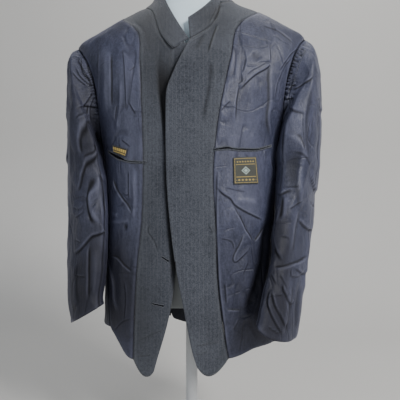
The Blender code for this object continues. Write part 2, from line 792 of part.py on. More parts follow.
def sleeve_ring(table, side, station, turns):
    """Points round one section of a sleeve, at turns from its outer side over its front."""
    outer_x, outer_z, inner_x, inner_z, middle_y, deep, twist, front_rise = (
        float(eased(table, c, station)) for c in range(1, 9))
    twist = math.radians(twist)
    out = np.array((side * math.cos(twist), -math.sin(twist), 0.0))
    front = np.array((-side * math.sin(twist), -math.cos(twist), front_rise / deep))
    middle = np.array(((outer_x + inner_x) / 2, middle_y, (outer_z + inner_z) / 2))
    across = abs(outer_x - inner_x) / 2
    lift = np.array((0.0, 0.0, (outer_z - inner_z) / 2))
    c = np.cos(turns)[:, None]
    s = np.sin(turns)[:, None]
    return middle + c * (across * out + lift) + s * deep * front


def sleeve_base(side, table, edge):
    """The sleeve's outer surface from the armhole seam to the cuff, a column for each seam point."""
    loop = chained(edge["armhole_front"][::-1], edge["armhole_under"], edge["armhole_back"])
    seam = body_point(loop[:, 0], loop[:, 1])
    seam[-1] = seam[0]
    turns = np.arccos(np.clip((loop[:, 1] - ARMHOLE_MIDDLE) / ARMHOLE_HALF_HEIGHT, -1, 1))
    turns = np.where(np.abs(loop[:, 0]) > math.pi / 2, 2 * math.pi - turns, turns)
    turns[-1] = 2 * math.pi
    middle = seam[:-1].mean(axis=0)
    start = seam + unit(middle - seam) * SLEEVE_SET_BACK
    stations = np.concatenate(([0.0], table[:, 0]))
    rings = np.stack([start] + [sleeve_ring(table, side, s, turns) for s in table[:, 0]])
    at = np.linspace(0, stations[-1], SLEEVE_ROWS + 1)
    grid = np.zeros((len(at), len(turns), 3))
    for column in range(len(turns)):
        for axis in range(3):
            track = np.stack((stations, rings[:, column, axis]), axis=1)
            grid[:, column, axis] = eased(track, 1, at)
    return grid, at, turns


def grid_normals(grid, side):
    """Outward normals of a closed tube of points."""
    along = np.gradient(grid, axis=0)
    ring = grid[:, :-1]
    round_it = np.roll(ring, -1, axis=1) - np.roll(ring, 1, axis=1)
    round_it = np.concatenate((round_it, round_it[:, :1]), axis=1)
    return unit(np.cross(round_it, along)) * side


def sleeve_pieces(side, edge):
    """Top sleeve and under sleeve, parted at a front and a back seam."""
    name = "right" if side > 0 else "left"
    table = RIGHT_SLEEVE if side > 0 else LEFT_SLEEVE
    folds = RIGHT_SLEEVE_FOLDS if side > 0 else LEFT_SLEEVE_FOLDS
    grid, stations, turns = sleeve_base(side, table, edge)
    normals = grid_normals(grid, side)
    paths = []
    for turn_from, station_from, turn_to, station_to, width, rise in folds:
        t = np.linspace(0, 1, 7)
        row = np.interp(station_from + (station_to - station_from) * t, stations,
                        np.arange(len(stations)))
        column = np.interp(np.radians(turn_from + (turn_to - turn_from) * t), turns,
                           np.arange(len(turns)))
        path = grid[np.round(row).astype(int), np.round(column).astype(int)]
        keep = np.concatenate(([True], np.linalg.norm(np.diff(path, axis=0), axis=1) > 1e-6))
        paths.append((path[keep], width, rise))
    outer = grid + normals * fold_rise(grid, paths)[..., None]
    inner = outer - normals * SLEEVE_WALL
    under_from = CHEST_ROWS - 1
    under_to = CHEST_ROWS + SIDE_COLUMNS + 2
    top = list(range(under_to, len(turns) - 1)) + list(range(0, under_from + 1))
    under = list(range(under_from, under_to + 1))
    for piece, columns in (("top_sleeve", top), ("under_sleeve", under)):
        cloth_piece(piece + "_" + name, set_back(outer[:, columns]),
                    set_back(inner[:, columns]), "lining_satin")


def tree_of(grids):
    points = []
    faces = []
    for grid in grids:
        rows, columns = grid.shape[:2]
        start = len(points)
        points.extend(Vector(p) for p in grid.reshape(-1, 3))
        for i in range(rows - 1):
            for j in range(columns - 1):
                a = start + i * columns + j
                faces.append((a, a + 1, a + columns + 1, a + columns))
    return BVHTree.FromPolygons(points, faces)


def laid_on(tree, name, x, z, thickness, material_name):
    """A flat piece on a panel, from the panel's own points at x, z, moved out."""
    low = np.zeros(x.shape + (3,))
    high = np.zeros(x.shape + (3,))
    for i in np.ndindex(x.shape):
        hit, normal, _, _ = tree.ray_cast(Vector((x[i], -1.0, z[i])), Vector((0, 1, 0)))
        if normal.y > 0:
            normal = -normal
        low[i] = hit + normal * LAID_GAP
        high[i] = hit + normal * (LAID_GAP + thickness)
    cloth_piece(name, high, low, material_name)


def welt(tree, name, rows):
    """The jetted mouth of an inner pocket, a narrow strip along a bent line."""
    bend = np.array(rows)
    x = np.linspace(bend[0, 0], bend[-1, 0], WELT_COLUMNS + 1)
    z = eased(bend, 1, x)
    low = z - WELT_HEIGHT
    across = np.stack((low, (low + z) / 2, z))
    laid_on(tree, name, np.stack((x, x, x)), across, WELT_THICKNESS, "facing_wool")


def label(tree, name, corners):
    """A woven label between four corners, bottom left first and then anticlockwise."""
    low_left, low_right, high_right, high_left = (np.array(corner) for corner in corners)
    v = np.linspace(0, 1, LABEL_ROWS + 1)[:, None, None]
    u = np.linspace(0, 1, LABEL_COLUMNS + 1)[None, :, None]
    spot = ((1 - v) * ((1 - u) * low_left + u * low_right)
            + v * ((1 - u) * high_left + u * high_right))
    laid_on(tree, name, spot[..., 0], spot[..., 1], LABEL_THICKNESS, "label_weave")


def stacked(name, rings, material_name):
    """A closed solid from a stack of rings of points round the Z axis, lowest first."""
    sides = len(rings[0])
    points = [(0.0, 0.0, rings[0][0][2])]
    for ring in rings:
        points.extend(ring)
    points.append((0.0, 0.0, rings[-1][0][2]))
    faces = []
    last = len(points) - 1
    for i in range(sides):
        after = (i + 1) % sides
        faces.append((0, 1 + after, 1 + i))
        for row in range(len(rings) - 1):
            a = 1 + row * sides
            faces.append((a + i, a + after, a + sides + after, a + sides + i))
        a = 1 + (len(rings) - 1) * sides
        faces.append((a + i, a + after, last))
    return mesh_object(name, points, faces, material_name)


def turned(name, profile, sides, material_name):
    """A closed turned solid about the Z axis, from rows of radius and height."""
    turn = np.linspace(0, 2 * math.pi, sides, endpoint=False)
    rings = [np.stack((radius * np.cos(turn), radius * np.sin(turn),
                       np.full_like(turn, height)), axis=-1) for radius, height in profile]
    return stacked(name, rings, material_name)


def front_button(tree, name, height):
    """A round button against the hidden face of the front that lies on top."""
    hit, normal, _, _ = tree.ray_cast(Vector((BUTTON_X, 0.0, height)), Vector((0, -1, 0)))
    if normal.y < 0:
        normal = -normal
    profile = ((BUTTON_RADIUS - BUTTON_EDGE, 0.0), (BUTTON_RADIUS, BUTTON_EDGE),
               (BUTTON_RADIUS, BUTTON_THICKNESS - BUTTON_EDGE),
               (BUTTON_RADIUS - BUTTON_CROWN, BUTTON_THICKNESS))
    made = turned(name, profile, BUTTON_SIDES, "button_resin")
    made.rotation_mode = "QUATERNION"
    made.rotation_quaternion = Vector((0, 0, 1)).rotation_difference(normal)
    made.location = hit + normal * BUTTON_GAP


def form_torso():
    """The limbless torso: smooth rings just inside the coat, then a plain round neck."""
    turn = np.linspace(0, 2 * math.pi, FORM_SIDES, endpoint=False)
    is_front = np.cos(turn) > 0
    rings = []
    for level, inset in FORM_FOLLOWS:
        deep = np.where(is_front, eased(RINGS, 2, level), eased(RINGS, 3, level))
        angle = np.arctan2(eased(RINGS, 1, level) * np.sin(turn), deep * np.cos(turn))
        levels = np.full_like(angle, level)
        if FORM_SEAT_FROM < level < FORM_SEAT_TO:
            off_ridge = smooth_step(np.abs(np.cos(turn)) / FORM_SEAT_WIDTH)
            inset = FORM_SEAT + (inset - FORM_SEAT) * off_ridge
        inward = body_normal(angle, levels) * np.reshape(inset, (-1, 1))
        rings.append(body_point(angle, levels) - inward)
    for level, half_width, front, back in FORM_NECK:
        deep = np.where(is_front, front, back)
        rings.append(np.stack((half_width * np.sin(turn), -deep * np.cos(turn),
                               np.full_like(turn, level)), axis=-1))
    bottom = rings[0].copy()
    bottom[:, 2] = FORM_BOTTOM
    bottom[:, :2] *= FORM_BOTTOM_SHARE
    rings[0][:, 2] = FORM_BOTTOM + FORM_BOTTOM_EDGE
    stacked("form_torso", [bottom] + rings, "form_white")


def stand():
    base = ((BASE_RADIUS - BASE_BEVEL, 0.0), (BASE_RADIUS, BASE_BEVEL),
            (BASE_RADIUS, BASE_THICKNESS - BASE_BEVEL),
            (BASE_RADIUS - BASE_BEVEL, BASE_THICKNESS))
    turned("form_base", base, BASE_SIDES, "stand_white")
    pole = ((POLE_RADIUS, BASE_THICKNESS + LAYER_GAP), (POLE_RADIUS, FORM_BOTTOM - LAYER_GAP))
    turned("form_pole", pole, POLE_SIDES, "stand_white")


def main():
    clear_scene()
    paths = body_fold_paths()
    edges = {side: side_edges(side) for side in (-1, 1)}
    for side, name in ((-1, "left"), (1, "right")):
        edge = edges[side]
        on_top = side > 0
        facing = body_piece("facing_" + name, facing_grid(side, edge), on_top, paths,
                            "facing_wool")
        lining = body_piece("front_lining_" + name, lining_grid(edge), on_top, paths,
                            "lining_satin")
        under = body_piece("side_lining_" + name, side_grid(edge), False, paths,
                           "lining_satin")
        body_piece("back_lining_" + name, back_grid(edge), False, paths, "lining_satin")
        sleeve_pieces(side, edge)
        tree = tree_of((facing[0], lining[0], under[0]))
        welt(tree, "pocket_welt_" + name, LEFT_POCKET if side < 0 else RIGHT_POCKET)
        label(tree, "label_" + name, LEFT_LABEL if side < 0 else RIGHT_LABEL)
        if side > 0:
            hidden = tree_of((facing[1],))
            for number, height in enumerate(BUTTON_HEIGHTS, 1):
                front_button(hidden, "front_button_%d" % number, height)
    collar_piece(edges[1], edges[-1], paths)
    form_torso()
    stand()


main()
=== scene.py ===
"""A sport coat worn inside out on a limbless dress form, with its creases, trimmings and stand.

Metres, +Z up, the coat faces -Y. Left and right are those of someone who looks at its front.
"""
import math

import bpy
import numpy as np
from mathutils import Matrix, Vector, noise
from mathutils.bvhtree import BVHTree
from mathutils.kdtree import KDTree


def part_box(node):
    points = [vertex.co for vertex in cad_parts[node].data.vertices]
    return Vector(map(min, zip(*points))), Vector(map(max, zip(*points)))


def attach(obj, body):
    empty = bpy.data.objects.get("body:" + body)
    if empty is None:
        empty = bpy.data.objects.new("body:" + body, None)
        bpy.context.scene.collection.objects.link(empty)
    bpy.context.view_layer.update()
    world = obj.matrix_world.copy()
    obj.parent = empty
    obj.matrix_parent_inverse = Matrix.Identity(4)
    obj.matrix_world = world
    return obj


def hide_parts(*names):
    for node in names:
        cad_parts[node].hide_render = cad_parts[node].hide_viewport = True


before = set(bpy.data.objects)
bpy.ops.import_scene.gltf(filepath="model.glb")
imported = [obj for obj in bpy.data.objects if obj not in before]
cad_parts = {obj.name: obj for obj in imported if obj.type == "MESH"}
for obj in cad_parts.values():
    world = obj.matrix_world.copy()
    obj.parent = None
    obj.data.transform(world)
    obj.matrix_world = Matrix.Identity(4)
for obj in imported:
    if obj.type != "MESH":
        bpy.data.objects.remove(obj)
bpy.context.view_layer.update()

# Camera: the photograph's level view of the open fronts, framed on a square
CAMERA_PLACE = (0.018, -1.0, 0.51)
CAMERA_LENS = 41.3
SENSOR = 36.0

# Cloth
CLOTH_THICKNESS = 0.0016
WELD = 0.00002
EDGE_TURN = math.radians(66.0)
SMOOTH_LEVELS = 3
SEAM_REACH = 0.0034
SEAM_CLOSING = 0.47
SEAM_DIP = 0.0011
SEAM_WIDTH = 0.0024
# Painted shade along the seam line, and painted highlight on its lip and on a free edge's bead
SEAM_LINE_WIDTH = 0.6 * SEAM_WIDTH
SEAM_LIP_AT = 1.9 * SEAM_WIDTH
SEAM_LIP_PAINTED_HIGHLIGHT = 0.5
SEAM_PAINTED_SHADE = {"facing_wool": 0.40, "lining_satin": 0.75}
EDGE_BEAD = 0.0004
EDGE_BEAD_AT = 0.0035
EDGE_BEAD_WIDTH = 0.0022
EDGE_BEAD_PAINTED_HIGHLIGHT = 0.35
DEEPEST = -0.0062
PROUDEST = 0.0070

# Each cloth piece: the width, length and area of its flat cut, and its slot
CLOTH = {
    # piece: (width, length, area, slot)
    "facing_left": (0.135, 0.770, 0.0556, "facing_wool"),
    "facing_right": (0.150, 0.775, 0.0645, "facing_wool"),
    "collar": (0.460, 0.085, 0.0335, "facing_wool"),
    "front_lining_left": (0.165, 0.735, 0.0760, "lining_satin"),
    "front_lining_right": (0.205, 0.745, 0.1060, "lining_satin"),
    "side_lining_left": (0.160, 0.450, 0.0550, "lining_satin"),
    "side_lining_right": (0.155, 0.492, 0.0610, "lining_satin"),
    "back_lining_left": (0.250, 0.735, 0.1390, "lining_satin"),
    "back_lining_right": (0.300, 0.750, 0.1565, "lining_satin"),
    "top_sleeve_left": (0.255, 0.640, 0.1170, "lining_satin"),
    "top_sleeve_right": (0.265, 0.665, 0.1240, "lining_satin"),
    "under_sleeve_left": (0.185, 0.510, 0.0765, "lining_satin"),
    "under_sleeve_right": (0.190, 0.525, 0.0810, "lining_satin"),
}
BODY = ("facing_left", "facing_right", "collar", "front_lining_left", "front_lining_right",
        "side_lining_left", "side_lining_right", "back_lining_left", "back_lining_right")
LEFT_SLEEVE = ("top_sleeve_left", "under_sleeve_left")
RIGHT_SLEEVE = ("top_sleeve_right", "under_sleeve_right")

# Views in which creases are placed: where one looks from, and the picture's right
VIEWS = {
    # view: (towards the cloth, picture's right)
    "front": (Vector((0, 1, 0)), Vector((1, 0, 0))),
    "back": (Vector((0, -1, 0)), Vector((-1, 0, 0))),
    "left": (Vector((1, 0, 0)), Vector((0, -1, 0))),
    "right": (Vector((-1, 0, 0)), Vector((0, 1, 0))),
}
FAR = 1.0
BETWEEN_PANELS = (0.0, 0.0006, -0.0006, 0.0014, -0.0014, 0.0028, -0.0028)

# Creases: which side of the fold stands up (u, d, l, r in the view, n none), how deep,
# how wide from its middle, then its course, across the view and up
CREASES = (
    ("front", ("front_lining_right", "side_lining_right", "facing_right"), (
        ("u", .0020, .0035, (.141, .858), (.176, .848), (.212, .826)),
        ("l", .0025, .0026, (.154, .817), (.154, .801), (.155, .775)),
        ("u", .0032, .0028, (.155, .774), (.145, .764), (.124, .750), (.107, .734), (.093, .719)),
        ("u", .0016, .0025, (.150, .780), (.137, .770), (.117, .757), (.101, .742)),
        ("r", .0030, .0060, (.155, .773), (.151, .749), (.152, .705), (.149, .666), (.159, .626)),
        ("r", .0022, .0026, (.107, .783), (.103, .765), (.099, .751)),
        ("r", .0020, .0025, (.097, .746), (.099, .737), (.088, .727)),
        ("l", .0028, .0030, (.091, .726), (.089, .712), (.086, .693), (.085, .654)),
        ("n", .0025, .0090, (.120, .794), (.132, .779)),
        ("u", .0022, .0026, (.076, .698), (.065, .688), (.056, .676)),
        ("u", .0016, .0026, (.063, .534), (.088, .529), (.106, .526)),
        ("u", .0036, .0030, (.047, .537), (.060, .523), (.076, .512), (.084, .501), (.103, .489),
         (.130, .476), (.141, .471)),
        ("n", -.0020, .0045, (.087, .510), (.110, .508), (.130, .504)),
        ("l", .0026, .0028, (.080, .501), (.094, .475), (.107, .454)),
        ("l", .0020, .0026, (.145, .606), (.146, .588)),
        ("l", .0026, .0028, (.158, .597), (.162, .578), (.176, .558)),
        ("l", .0036, .0030, (.090, .491), (.102, .459), (.112, .443), (.120, .429)),
        ("r", .0030, .0030, (.122, .429), (.134, .444), (.143, .456)),
        ("u", .0026, .0028, (.102, .448), (.094, .428), (.081, .401), (.086, .393), (.100, .404),
         (.116, .420)),
        ("l", .0016, .0030, (.111, .394), (.098, .366)),
        ("u", .0022, .0026, (.055, .439), (.077, .432), (.084, .415)),
        ("r", .0022, .0030, (.065, .356), (.068, .312)),
        ("d", .0026, .0028, (.067, .304), (.095, .301)),
        ("l", .0016, .0030, (.092, .286), (.080, .264)),
        ("n", .0060, .0090, (.160, .478), (.145, .441), (.143, .401), (.132, .361), (.116, .317),
         (.108, .293)),
        ("l", .0034, .0028, (.218, .822), (.196, .798), (.171, .762)),
        ("l", .0032, .0028, (.205, .800), (.184, .772), (.168, .738), (.163, .705)),
        ("l", .0028, .0026, (.192, .775), (.178, .745), (.170, .712)),
        ("l", .0024, .0026, (.182, .735), (.174, .705), (.171, .672)),
        ("r", .0024, .0030, (.051, .570), (.049, .500), (.049, .440)),
        ("r", .0024, .0030, (.050, .440), (.053, .360), (.062, .280), (.070, .215)),
    )),
    ("front", RIGHT_SLEEVE, (
        ("n", .0026, .0017, (.2235, .8222), (.2331, .8164)),
        ("n", .0022, .0016, (.2196, .8158), (.2270, .8104)),
        ("n", .0030, .0018, (.2150, .8090), (.2262, .8026)),
        ("n", .0024, .0016, (.2108, .8026), (.2192, .7966)),
        ("n", .0030, .0018, (.2064, .7958), (.2184, .7890)),
        ("n", .0024, .0017, (.2024, .7890), (.2104, .7842)),
        ("n", .0030, .0018, (.1996, .7822), (.2110, .7776)),
        ("n", .0024, .0016, (.1972, .7750), (.2056, .7718)),
        ("n", .0028, .0018, (.1950, .7676), (.2066, .7634)),
        ("u", .0032, .0030, (.244, .757), (.231, .743), (.220, .735), (.207, .731)),
        ("u", .0026, .0028, (.214, .742), (.203, .737), (.199, .726)),
        ("u", .0016, .0025, (.207, .725), (.218, .720)),
        ("r", .0028, .0028, (.208, .721), (.213, .707), (.217, .687), (.221, .674)),
        ("r", .0045, .0045, (.196, .722), (.193, .701), (.193, .675)),
        ("r", .0045, .0050, (.207, .704), (.199, .681), (.201, .647)),
        ("l", .0026, .0028, (.211, .640), (.219, .607)),
        ("l", .0030, .0030, (.236, .673), (.228, .633), (.252, .603), (.264, .562)),
        ("u", .0026, .0028, (.205, .607), (.225, .592), (.235, .577)),
        ("d", .0022, .0026, (.193, .534), (.210, .535)),
        ("u", .0032, .0030, (.176, .546), (.186, .521), (.197, .530)),
        ("r", .0032, .0030, (.190, .518), (.183, .495), (.175, .472)),
        ("u", .0026, .0028, (.185, .492), (.205, .503), (.216, .508)),
        ("r", .0032, .0032, (.174, .520), (.177, .495), (.168, .464)),
        ("r", .0040, .0036, (.170, .476), (.161, .440), (.159, .417), (.171, .396)),
        ("u", .0022, .0026, (.167, .442), (.181, .440), (.186, .434)),
        ("d", .0050, .0038, (.152, .387), (.164, .387), (.183, .389), (.209, .393), (.232, .400)),
        ("u", .0026, .0028, (.186, .385), (.188, .369), (.207, .366), (.225, .376)),
        ("l", .0022, .0026, (.206, .349), (.214, .369)),
        ("r", .0026, .0028, (.147, .376), (.157, .357)),
        ("r", .0026, .0028, (.163, .374), (.169, .363), (.178, .347)),
        ("r", .0045, .0034, (.169, .356), (.169, .345), (.183, .319), (.195, .321)),
        ("u", .0020, .0026, (.150, .340), (.167, .338)),
        ("r", .0036, .0032, (.145, .350), (.139, .323), (.156, .285), (.168, .266)),
        ("r", .0040, .0034, (.146, .350), (.151, .322), (.164, .297), (.173, .274)),
        ("u", .0022, .0028, (.138, .286), (.161, .270)),
        ("l", .0050, .0110, (.236, .740), (.222, .660), (.228, .580)),
        ("r", .0045, .0100, (.215, .610), (.205, .545), (.212, .490)),
        ("l", .0040, .0100, (.212, .500), (.198, .440), (.190, .410)),
        ("l", .0035, .0090, (.192, .360), (.178, .300), (.172, .262)),
    )),
    ("front", ("front_lining_left", "side_lining_left", "facing_left"), (
        ("r", .0030, .0030, (-.185, .809), (-.184, .765), (-.188, .706)),
        ("n", -.0030, .0090, (-.169, .817), (-.167, .741), (-.170, .669)),
        ("l", .0030, .0040, (-.156, .804), (-.154, .743), (-.155, .686)),
        ("l", .0022, .0026, (-.144, .695), (-.148, .664)),
        ("n", -.0022, .0035, (-.135, .749), (-.136, .693), (-.145, .639)),
        ("r", .0022, .0026, (-.132, .806), (-.126, .747), (-.123, .676)),
        ("u", .0016, .0025, (-.118, .756), (-.105, .766)),
        ("u", .0020, .0028, (-.118, .697), (-.111, .685), (-.103, .672)),
        ("u", .0018, .0026, (-.135, .628), (-.115, .612)),
        ("r", .0030, .0030, (-.184, .660), (-.180, .637), (-.171, .615)),
        ("l", .0040, .0030, (-.156, .556), (-.148, .535), (-.135, .516), (-.121, .500),
         (-.110, .480)),
        ("u", .0016, .0025, (-.134, .526), (-.125, .520), (-.119, .523)),
        ("n", -.0020, .0028, (-.160, .468), (-.143, .466), (-.119, .470)),
        ("n", -.0016, .0028, (-.160, .484), (-.143, .479)),
        ("n", .0024, .0045, (-.130, .460), (-.123, .456)),
        ("d", .0040, .0030, (-.158, .400), (-.142, .397), (-.127, .383), (-.111, .371)),
        ("n", -.0026, .0040, (-.171, .430), (-.166, .393), (-.153, .347), (-.151, .314),
         (-.138, .289)),
        ("n", -.0026, .0050, (-.108, .571), (-.107, .510), (-.110, .472)),
        ("r", .0024, .0030, (-.119, .568), (-.119, .510)),
        ("u", .0020, .0026, (-.152, .252), (-.133, .274), (-.114, .284)),
        ("r", .0020, .0030, (-.128, .356), (-.124, .318), (-.128, .275)),
        ("l", .0018, .0030, (-.080, .467), (-.080, .448), (-.069, .432), (-.058, .401)),
        ("u", .0010, .0026, (-.102, .240), (-.073, .256), (-.050, .266)),
        ("u", .0010, .0026, (-.105, .211), (-.073, .216)),
        ("n", -.0020, .0040, (-.034, .800), (-.038, .765), (-.043, .720)),
    )),
    ("front", LEFT_SLEEVE, (
        ("r", .0030, .0026, (-.2265, .8066), (-.2185, .7685), (-.1990, .7480)),
        ("r", .0026, .0026, (-.2360, .7850), (-.2230, .7600), (-.2080, .7450), (-.1950, .7400)),
        ("r", .0024, .0026, (-.2130, .7900), (-.2050, .7650), (-.1930, .7500)),
        ("u", .0028, .0026, (-.1980, .7300), (-.2080, .7100), (-.2250, .6850)),
        ("u", .0024, .0026, (-.1950, .7200), (-.2030, .7000), (-.2100, .6750)),
        ("u", .0026, .0026, (-.234, .802), (-.223, .783), (-.206, .752), (-.199, .738)),
        ("u", .0026, .0028, (-.241, .771), (-.223, .751), (-.208, .738)),
        ("d", .0026, .0026, (-.205, .702), (-.215, .680), (-.223, .665)),
        ("l", .0050, .0050, (-.206, .689), (-.211, .666), (-.212, .647), (-.215, .615),
         (-.212, .597)),
        ("n", .0030, .0050, (-.203, .651), (-.203, .632)),
        ("r", .0030, .0030, (-.201, .621), (-.199, .608), (-.207, .590)),
        ("l", .0050, .0040, (-.197, .604), (-.202, .586), (-.208, .566), (-.217, .539),
         (-.225, .526)),
        ("r", .0040, .0034, (-.197, .559), (-.197, .535), (-.200, .510), (-.194, .479),
         (-.188, .460)),
        ("r", .0020, .0026, (-.194, .560), (-.190, .543)),
        ("u", .0026, .0026, (-.238, .482), (-.224, .477), (-.208, .488)),
        ("u", .0022, .0026, (-.237, .498), (-.220, .492), (-.209, .500)),
        ("u", .0060, .0040, (-.181, .450), (-.187, .444), (-.216, .413), (-.234, .403)),
        ("u", .0022, .0026, (-.233, .434), (-.223, .430), (-.212, .428)),
        ("u", .0026, .0028, (-.231, .365), (-.220, .362), (-.200, .363)),
        ("l", .0045, .0040, (-.196, .427), (-.196, .372), (-.197, .314)),
        ("n", -.0022, .0030, (-.188, .419), (-.188, .366), (-.187, .322)),
        ("r", .0045, .0100, (-.236, .720), (-.240, .660), (-.234, .600)),
        ("l", .0040, .0090, (-.222, .390), (-.226, .340), (-.220, .300)),
    )),
    ("front", ("facing_right", "collar"), (
        ("r", .0030, .0036, (.053, .853), (.043, .823), (.033, .786)),
        ("r", .0026, .0080, (.037, .774), (.041, .754), (.036, .714), (.030, .682), (.024, .652)),
        ("n", .0014, .0040, (.027, .831), (.018, .813), (.008, .794)),
        ("u", .0016, .0026, (.034, .463), (.043, .448)),
        ("u", .0010, .0026, (.006, .236), (.033, .239), (.060, .243)),
        ("u", .0010, .0026, (.009, .218), (.033, .224)),
        ("r", .0024, .0030, (.054, .898), (.044, .872), (.034, .850)),
        ("n", .0020, .0030, (.062, .908), (.052, .880), (.043, .857)),
    )),
    ("back", ("back_lining_left", "back_lining_right"), (
        ("l", .0044, .0034, (.003, .930), (.004, .850), (.002, .760), (.004, .660), (.002, .560)),
        ("n", -.0020, .0070, (.016, .925), (.020, .840), (.015, .740)),
        ("u", .0040, .0060, (.172, .800), (.130, .772), (.080, .700), (.058, .610)),
        ("n", .0030, .0110, (.165, .740), (.132, .690), (.112, .600)),
        ("u", .0026, .0030, (.168, .770), (.146, .752), (.118, .716)),
        ("l", .0030, .0080, (.146, .640), (.138, .520), (.144, .400), (.136, .260)),
        ("u", .0030, .0060, (.140, .560), (.090, .528), (.020, .520)),
        ("u", .0022, .0028, (.092, .516), (.052, .502), (.014, .506)),
        ("n", -.0030, .0120, (.090, .460), (.082, .360), (.090, .240)),
        ("r", .0026, .0070, (.050, .450), (.044, .350), (.052, .250)),
        ("d", .0020, .0030, (.128, .408), (.104, .392), (.072, .396)),
        ("n", .0030, .0100, (.116, .380), (.110, .300), (.120, .230)),
        ("u", .0036, .0060, (-.168, .790), (-.126, .756), (-.084, .690), (-.066, .620)),
        ("n", .0030, .0110, (-.160, .720), (-.130, .664), (-.118, .580)),
        ("u", .0024, .0030, (-.158, .748), (-.132, .728), (-.108, .688)),
        ("r", .0030, .0080, (-.140, .600), (-.128, .500), (-.138, .380), (-.128, .260)),
        ("u", .0030, .0060, (-.136, .540), (-.080, .516), (-.016, .514)),
        ("d", .0020, .0028, (-.120, .560), (-.096, .552), (-.070, .556)),
        ("n", -.0030, .0120, (-.080, .450), (-.090, .350), (-.078, .250)),
        ("l", .0024, .0070, (-.040, .440), (-.048, .340), (-.038, .260)),
    )),
    ("back", RIGHT_SLEEVE, (
        ("u", .0036, .0060, (.206, .765), (.230, .730), (.250, .690)),
        ("n", .0034, .0100, (.214, .730), (.236, .650), (.240, .570)),
        ("u", .0028, .0030, (.204, .660), (.226, .646), (.248, .650)),
        ("u", .0044, .0056, (.198, .570), (.222, .540), (.248, .530)),
        ("d", .0030, .0030, (.194, .524), (.216, .510), (.236, .514)),
        ("n", -.0034, .0090, (.206, .480), (.198, .420), (.204, .360)),
        ("u", .0036, .0050, (.182, .470), (.204, .446), (.222, .448)),
        ("u", .0026, .0030, (.166, .382), (.184, .366), (.200, .370)),
        ("n", .0030, .0080, (.184, .360), (.172, .310), (.176, .268)),
    )),
    ("back", LEFT_SLEEVE, (
        ("u", .0036, .0060, (-.206, .745), (-.228, .708), (-.246, .668)),
        ("n", .0034, .0100, (-.214, .710), (-.234, .630), (-.238, .550)),
        ("d", .0028, .0030, (-.204, .630), (-.224, .618), (-.244, .624)),
        ("u", .0044, .0056, (-.198, .548), (-.218, .518), (-.244, .506)),
        ("u", .0030, .0030, (-.198, .500), (-.214, .488), (-.236, .490)),
        ("n", -.0034, .0090, (-.222, .460), (-.216, .400), (-.222, .330)),
        ("u", .0036, .0050, (-.198, .440), (-.216, .418), (-.236, .418)),
    )),
    ("right", RIGHT_SLEEVE, (
        ("u", .0036, .0060, (-.080, .730), (-.036, .700), (.012, .706), (.050, .720)),
        ("n", .0036, .0110, (.010, .770), (.016, .690), (.004, .600)),
        ("r", .0030, .0070, (-.040, .700), (-.054, .630), (-.048, .560)),
        ("u", .0034, .0034, (.056, .640), (.026, .620), (-.012, .618)),
        ("u", .0050, .0050, (-.096, .566), (-.060, .536), (-.020, .528), (.022, .538)),
        ("d", .0034, .0034, (-.082, .508), (-.050, .496), (-.012, .500)),
        ("u", .0042, .0044, (-.116, .474), (-.082, .452), (-.042, .450)),
        ("n", -.0036, .0100, (-.070, .440), (-.094, .380), (-.098, .320)),
        ("u", .0032, .0034, (-.138, .384), (-.112, .368), (-.080, .370)),
        ("n", .0030, .0080, (-.122, .350), (-.136, .300), (-.134, .262)),
    )),
    ("left", LEFT_SLEEVE, (
        ("u", .0036, .0060, (-.050, .706), (-.012, .690), (.036, .682), (.080, .712)),
        ("n", .0036, .0110, (-.014, .750), (-.020, .670), (-.008, .580)),
        ("l", .0030, .0070, (.040, .680), (.054, .610), (.046, .540)),
        ("u", .0034, .0034, (-.056, .610), (-.026, .590), (.012, .590)),
        ("u", .0050, .0050, (-.022, .500), (.020, .490), (.058, .494), (.090, .522)),
        ("d", .0034, .0034, (.006, .460), (.048, .452), (.080, .464)),
        ("u", .0042, .0044, (.022, .406), (.060, .400), (.094, .420)),
        ("n", -.0036, .0100, (.050, .390), (.062, .340), (.056, .300)),
        ("l", .0028, .0034, (.092, .352), (.102, .314), (.098, .285)),
    )),
)
STEP_SHARPNESS = 0.45
LIP_HEIGHT = 0.48
LIP_RUN = 7.0
TROUGH_DEPTH = 0.42
TROUGH_RUN = 3.2
# Painted shade along each crease's fold and painted highlight on its lip: their width, where they
# lie across it, and how strong they get
LINE_WIDTH = 0.46
PAINTED_SHADE_AT = -0.30
PAINTED_HIGHLIGHT_AT = 0.65
STRENGTH_LIMIT = 1.3
FADE_SHARE = 0.20
# The crease depth at which its painted shade and painted highlight are full
PAINTED_SHADE_FULL_DEPTH = 0.0030
FOLD_REACH = 14.0
FINE_REACH = 0.0050
SOFT_WIDTH = 0.0045
PATH_STEP = 0.0025

# Crumpling, for each group: height and spacing of a coarse and a fine layer
CRUMPLE = {
    # finish: (coarse_height, coarse_spacing, fine_height, fine_spacing)
    "facing_wool": (0.0008, 0.110, 0.00015, 0.022),
    "lining_satin": (0.0012, 0.080, 0.0006, 0.024),
}
SLEEVE_CRUMPLE = (0.0026, 0.060, 0.0012, 0.024)
CRUMPLE_SEED = Vector((3.1, 7.7, 1.9))
# Blender draws the offsets of noise vectors from the clock unless they are seeded
NOISE_SEED = 11

# Gathers of the sleeve head along the armhole seam, with painted shade in their hollows and
# painted highlight on their crests
GATHER_SPACING = 0.0068
GATHER_HEIGHT = 0.0022
GATHER_LENGTH = 0.012
GATHER_WANDER = 0.002
GATHER_WANDER_TURNS = 9
GATHER_UNEVEN = 0.20
GATHER_UNEVEN_TURNS = 5.3
GATHER_PAINTED_SHADE = 1.10
GATHER_PAINTED_HIGHLIGHT = 0.9
ARMHOLE_ROWS = (0.0, 0.006, 0.012)
ARMHOLE_REACH = 0.0120
ARMHOLE_FOOT = 0.660
ARMHOLE_RADIUS = 0.105

# The front that lies on top stands off along its edge; the other one rolls back beside it under
# painted shade
FRONT_STAND_OFF = 0.0042
FRONT_STAND_REACH = 0.026
FRONT_EDGE_WITHIN = 0.012
ROLL_BACK = 0.0060
ROLL_BACK_OVER = 0.008
ROLL_BACK_PAINTED_SHADE = 1.1
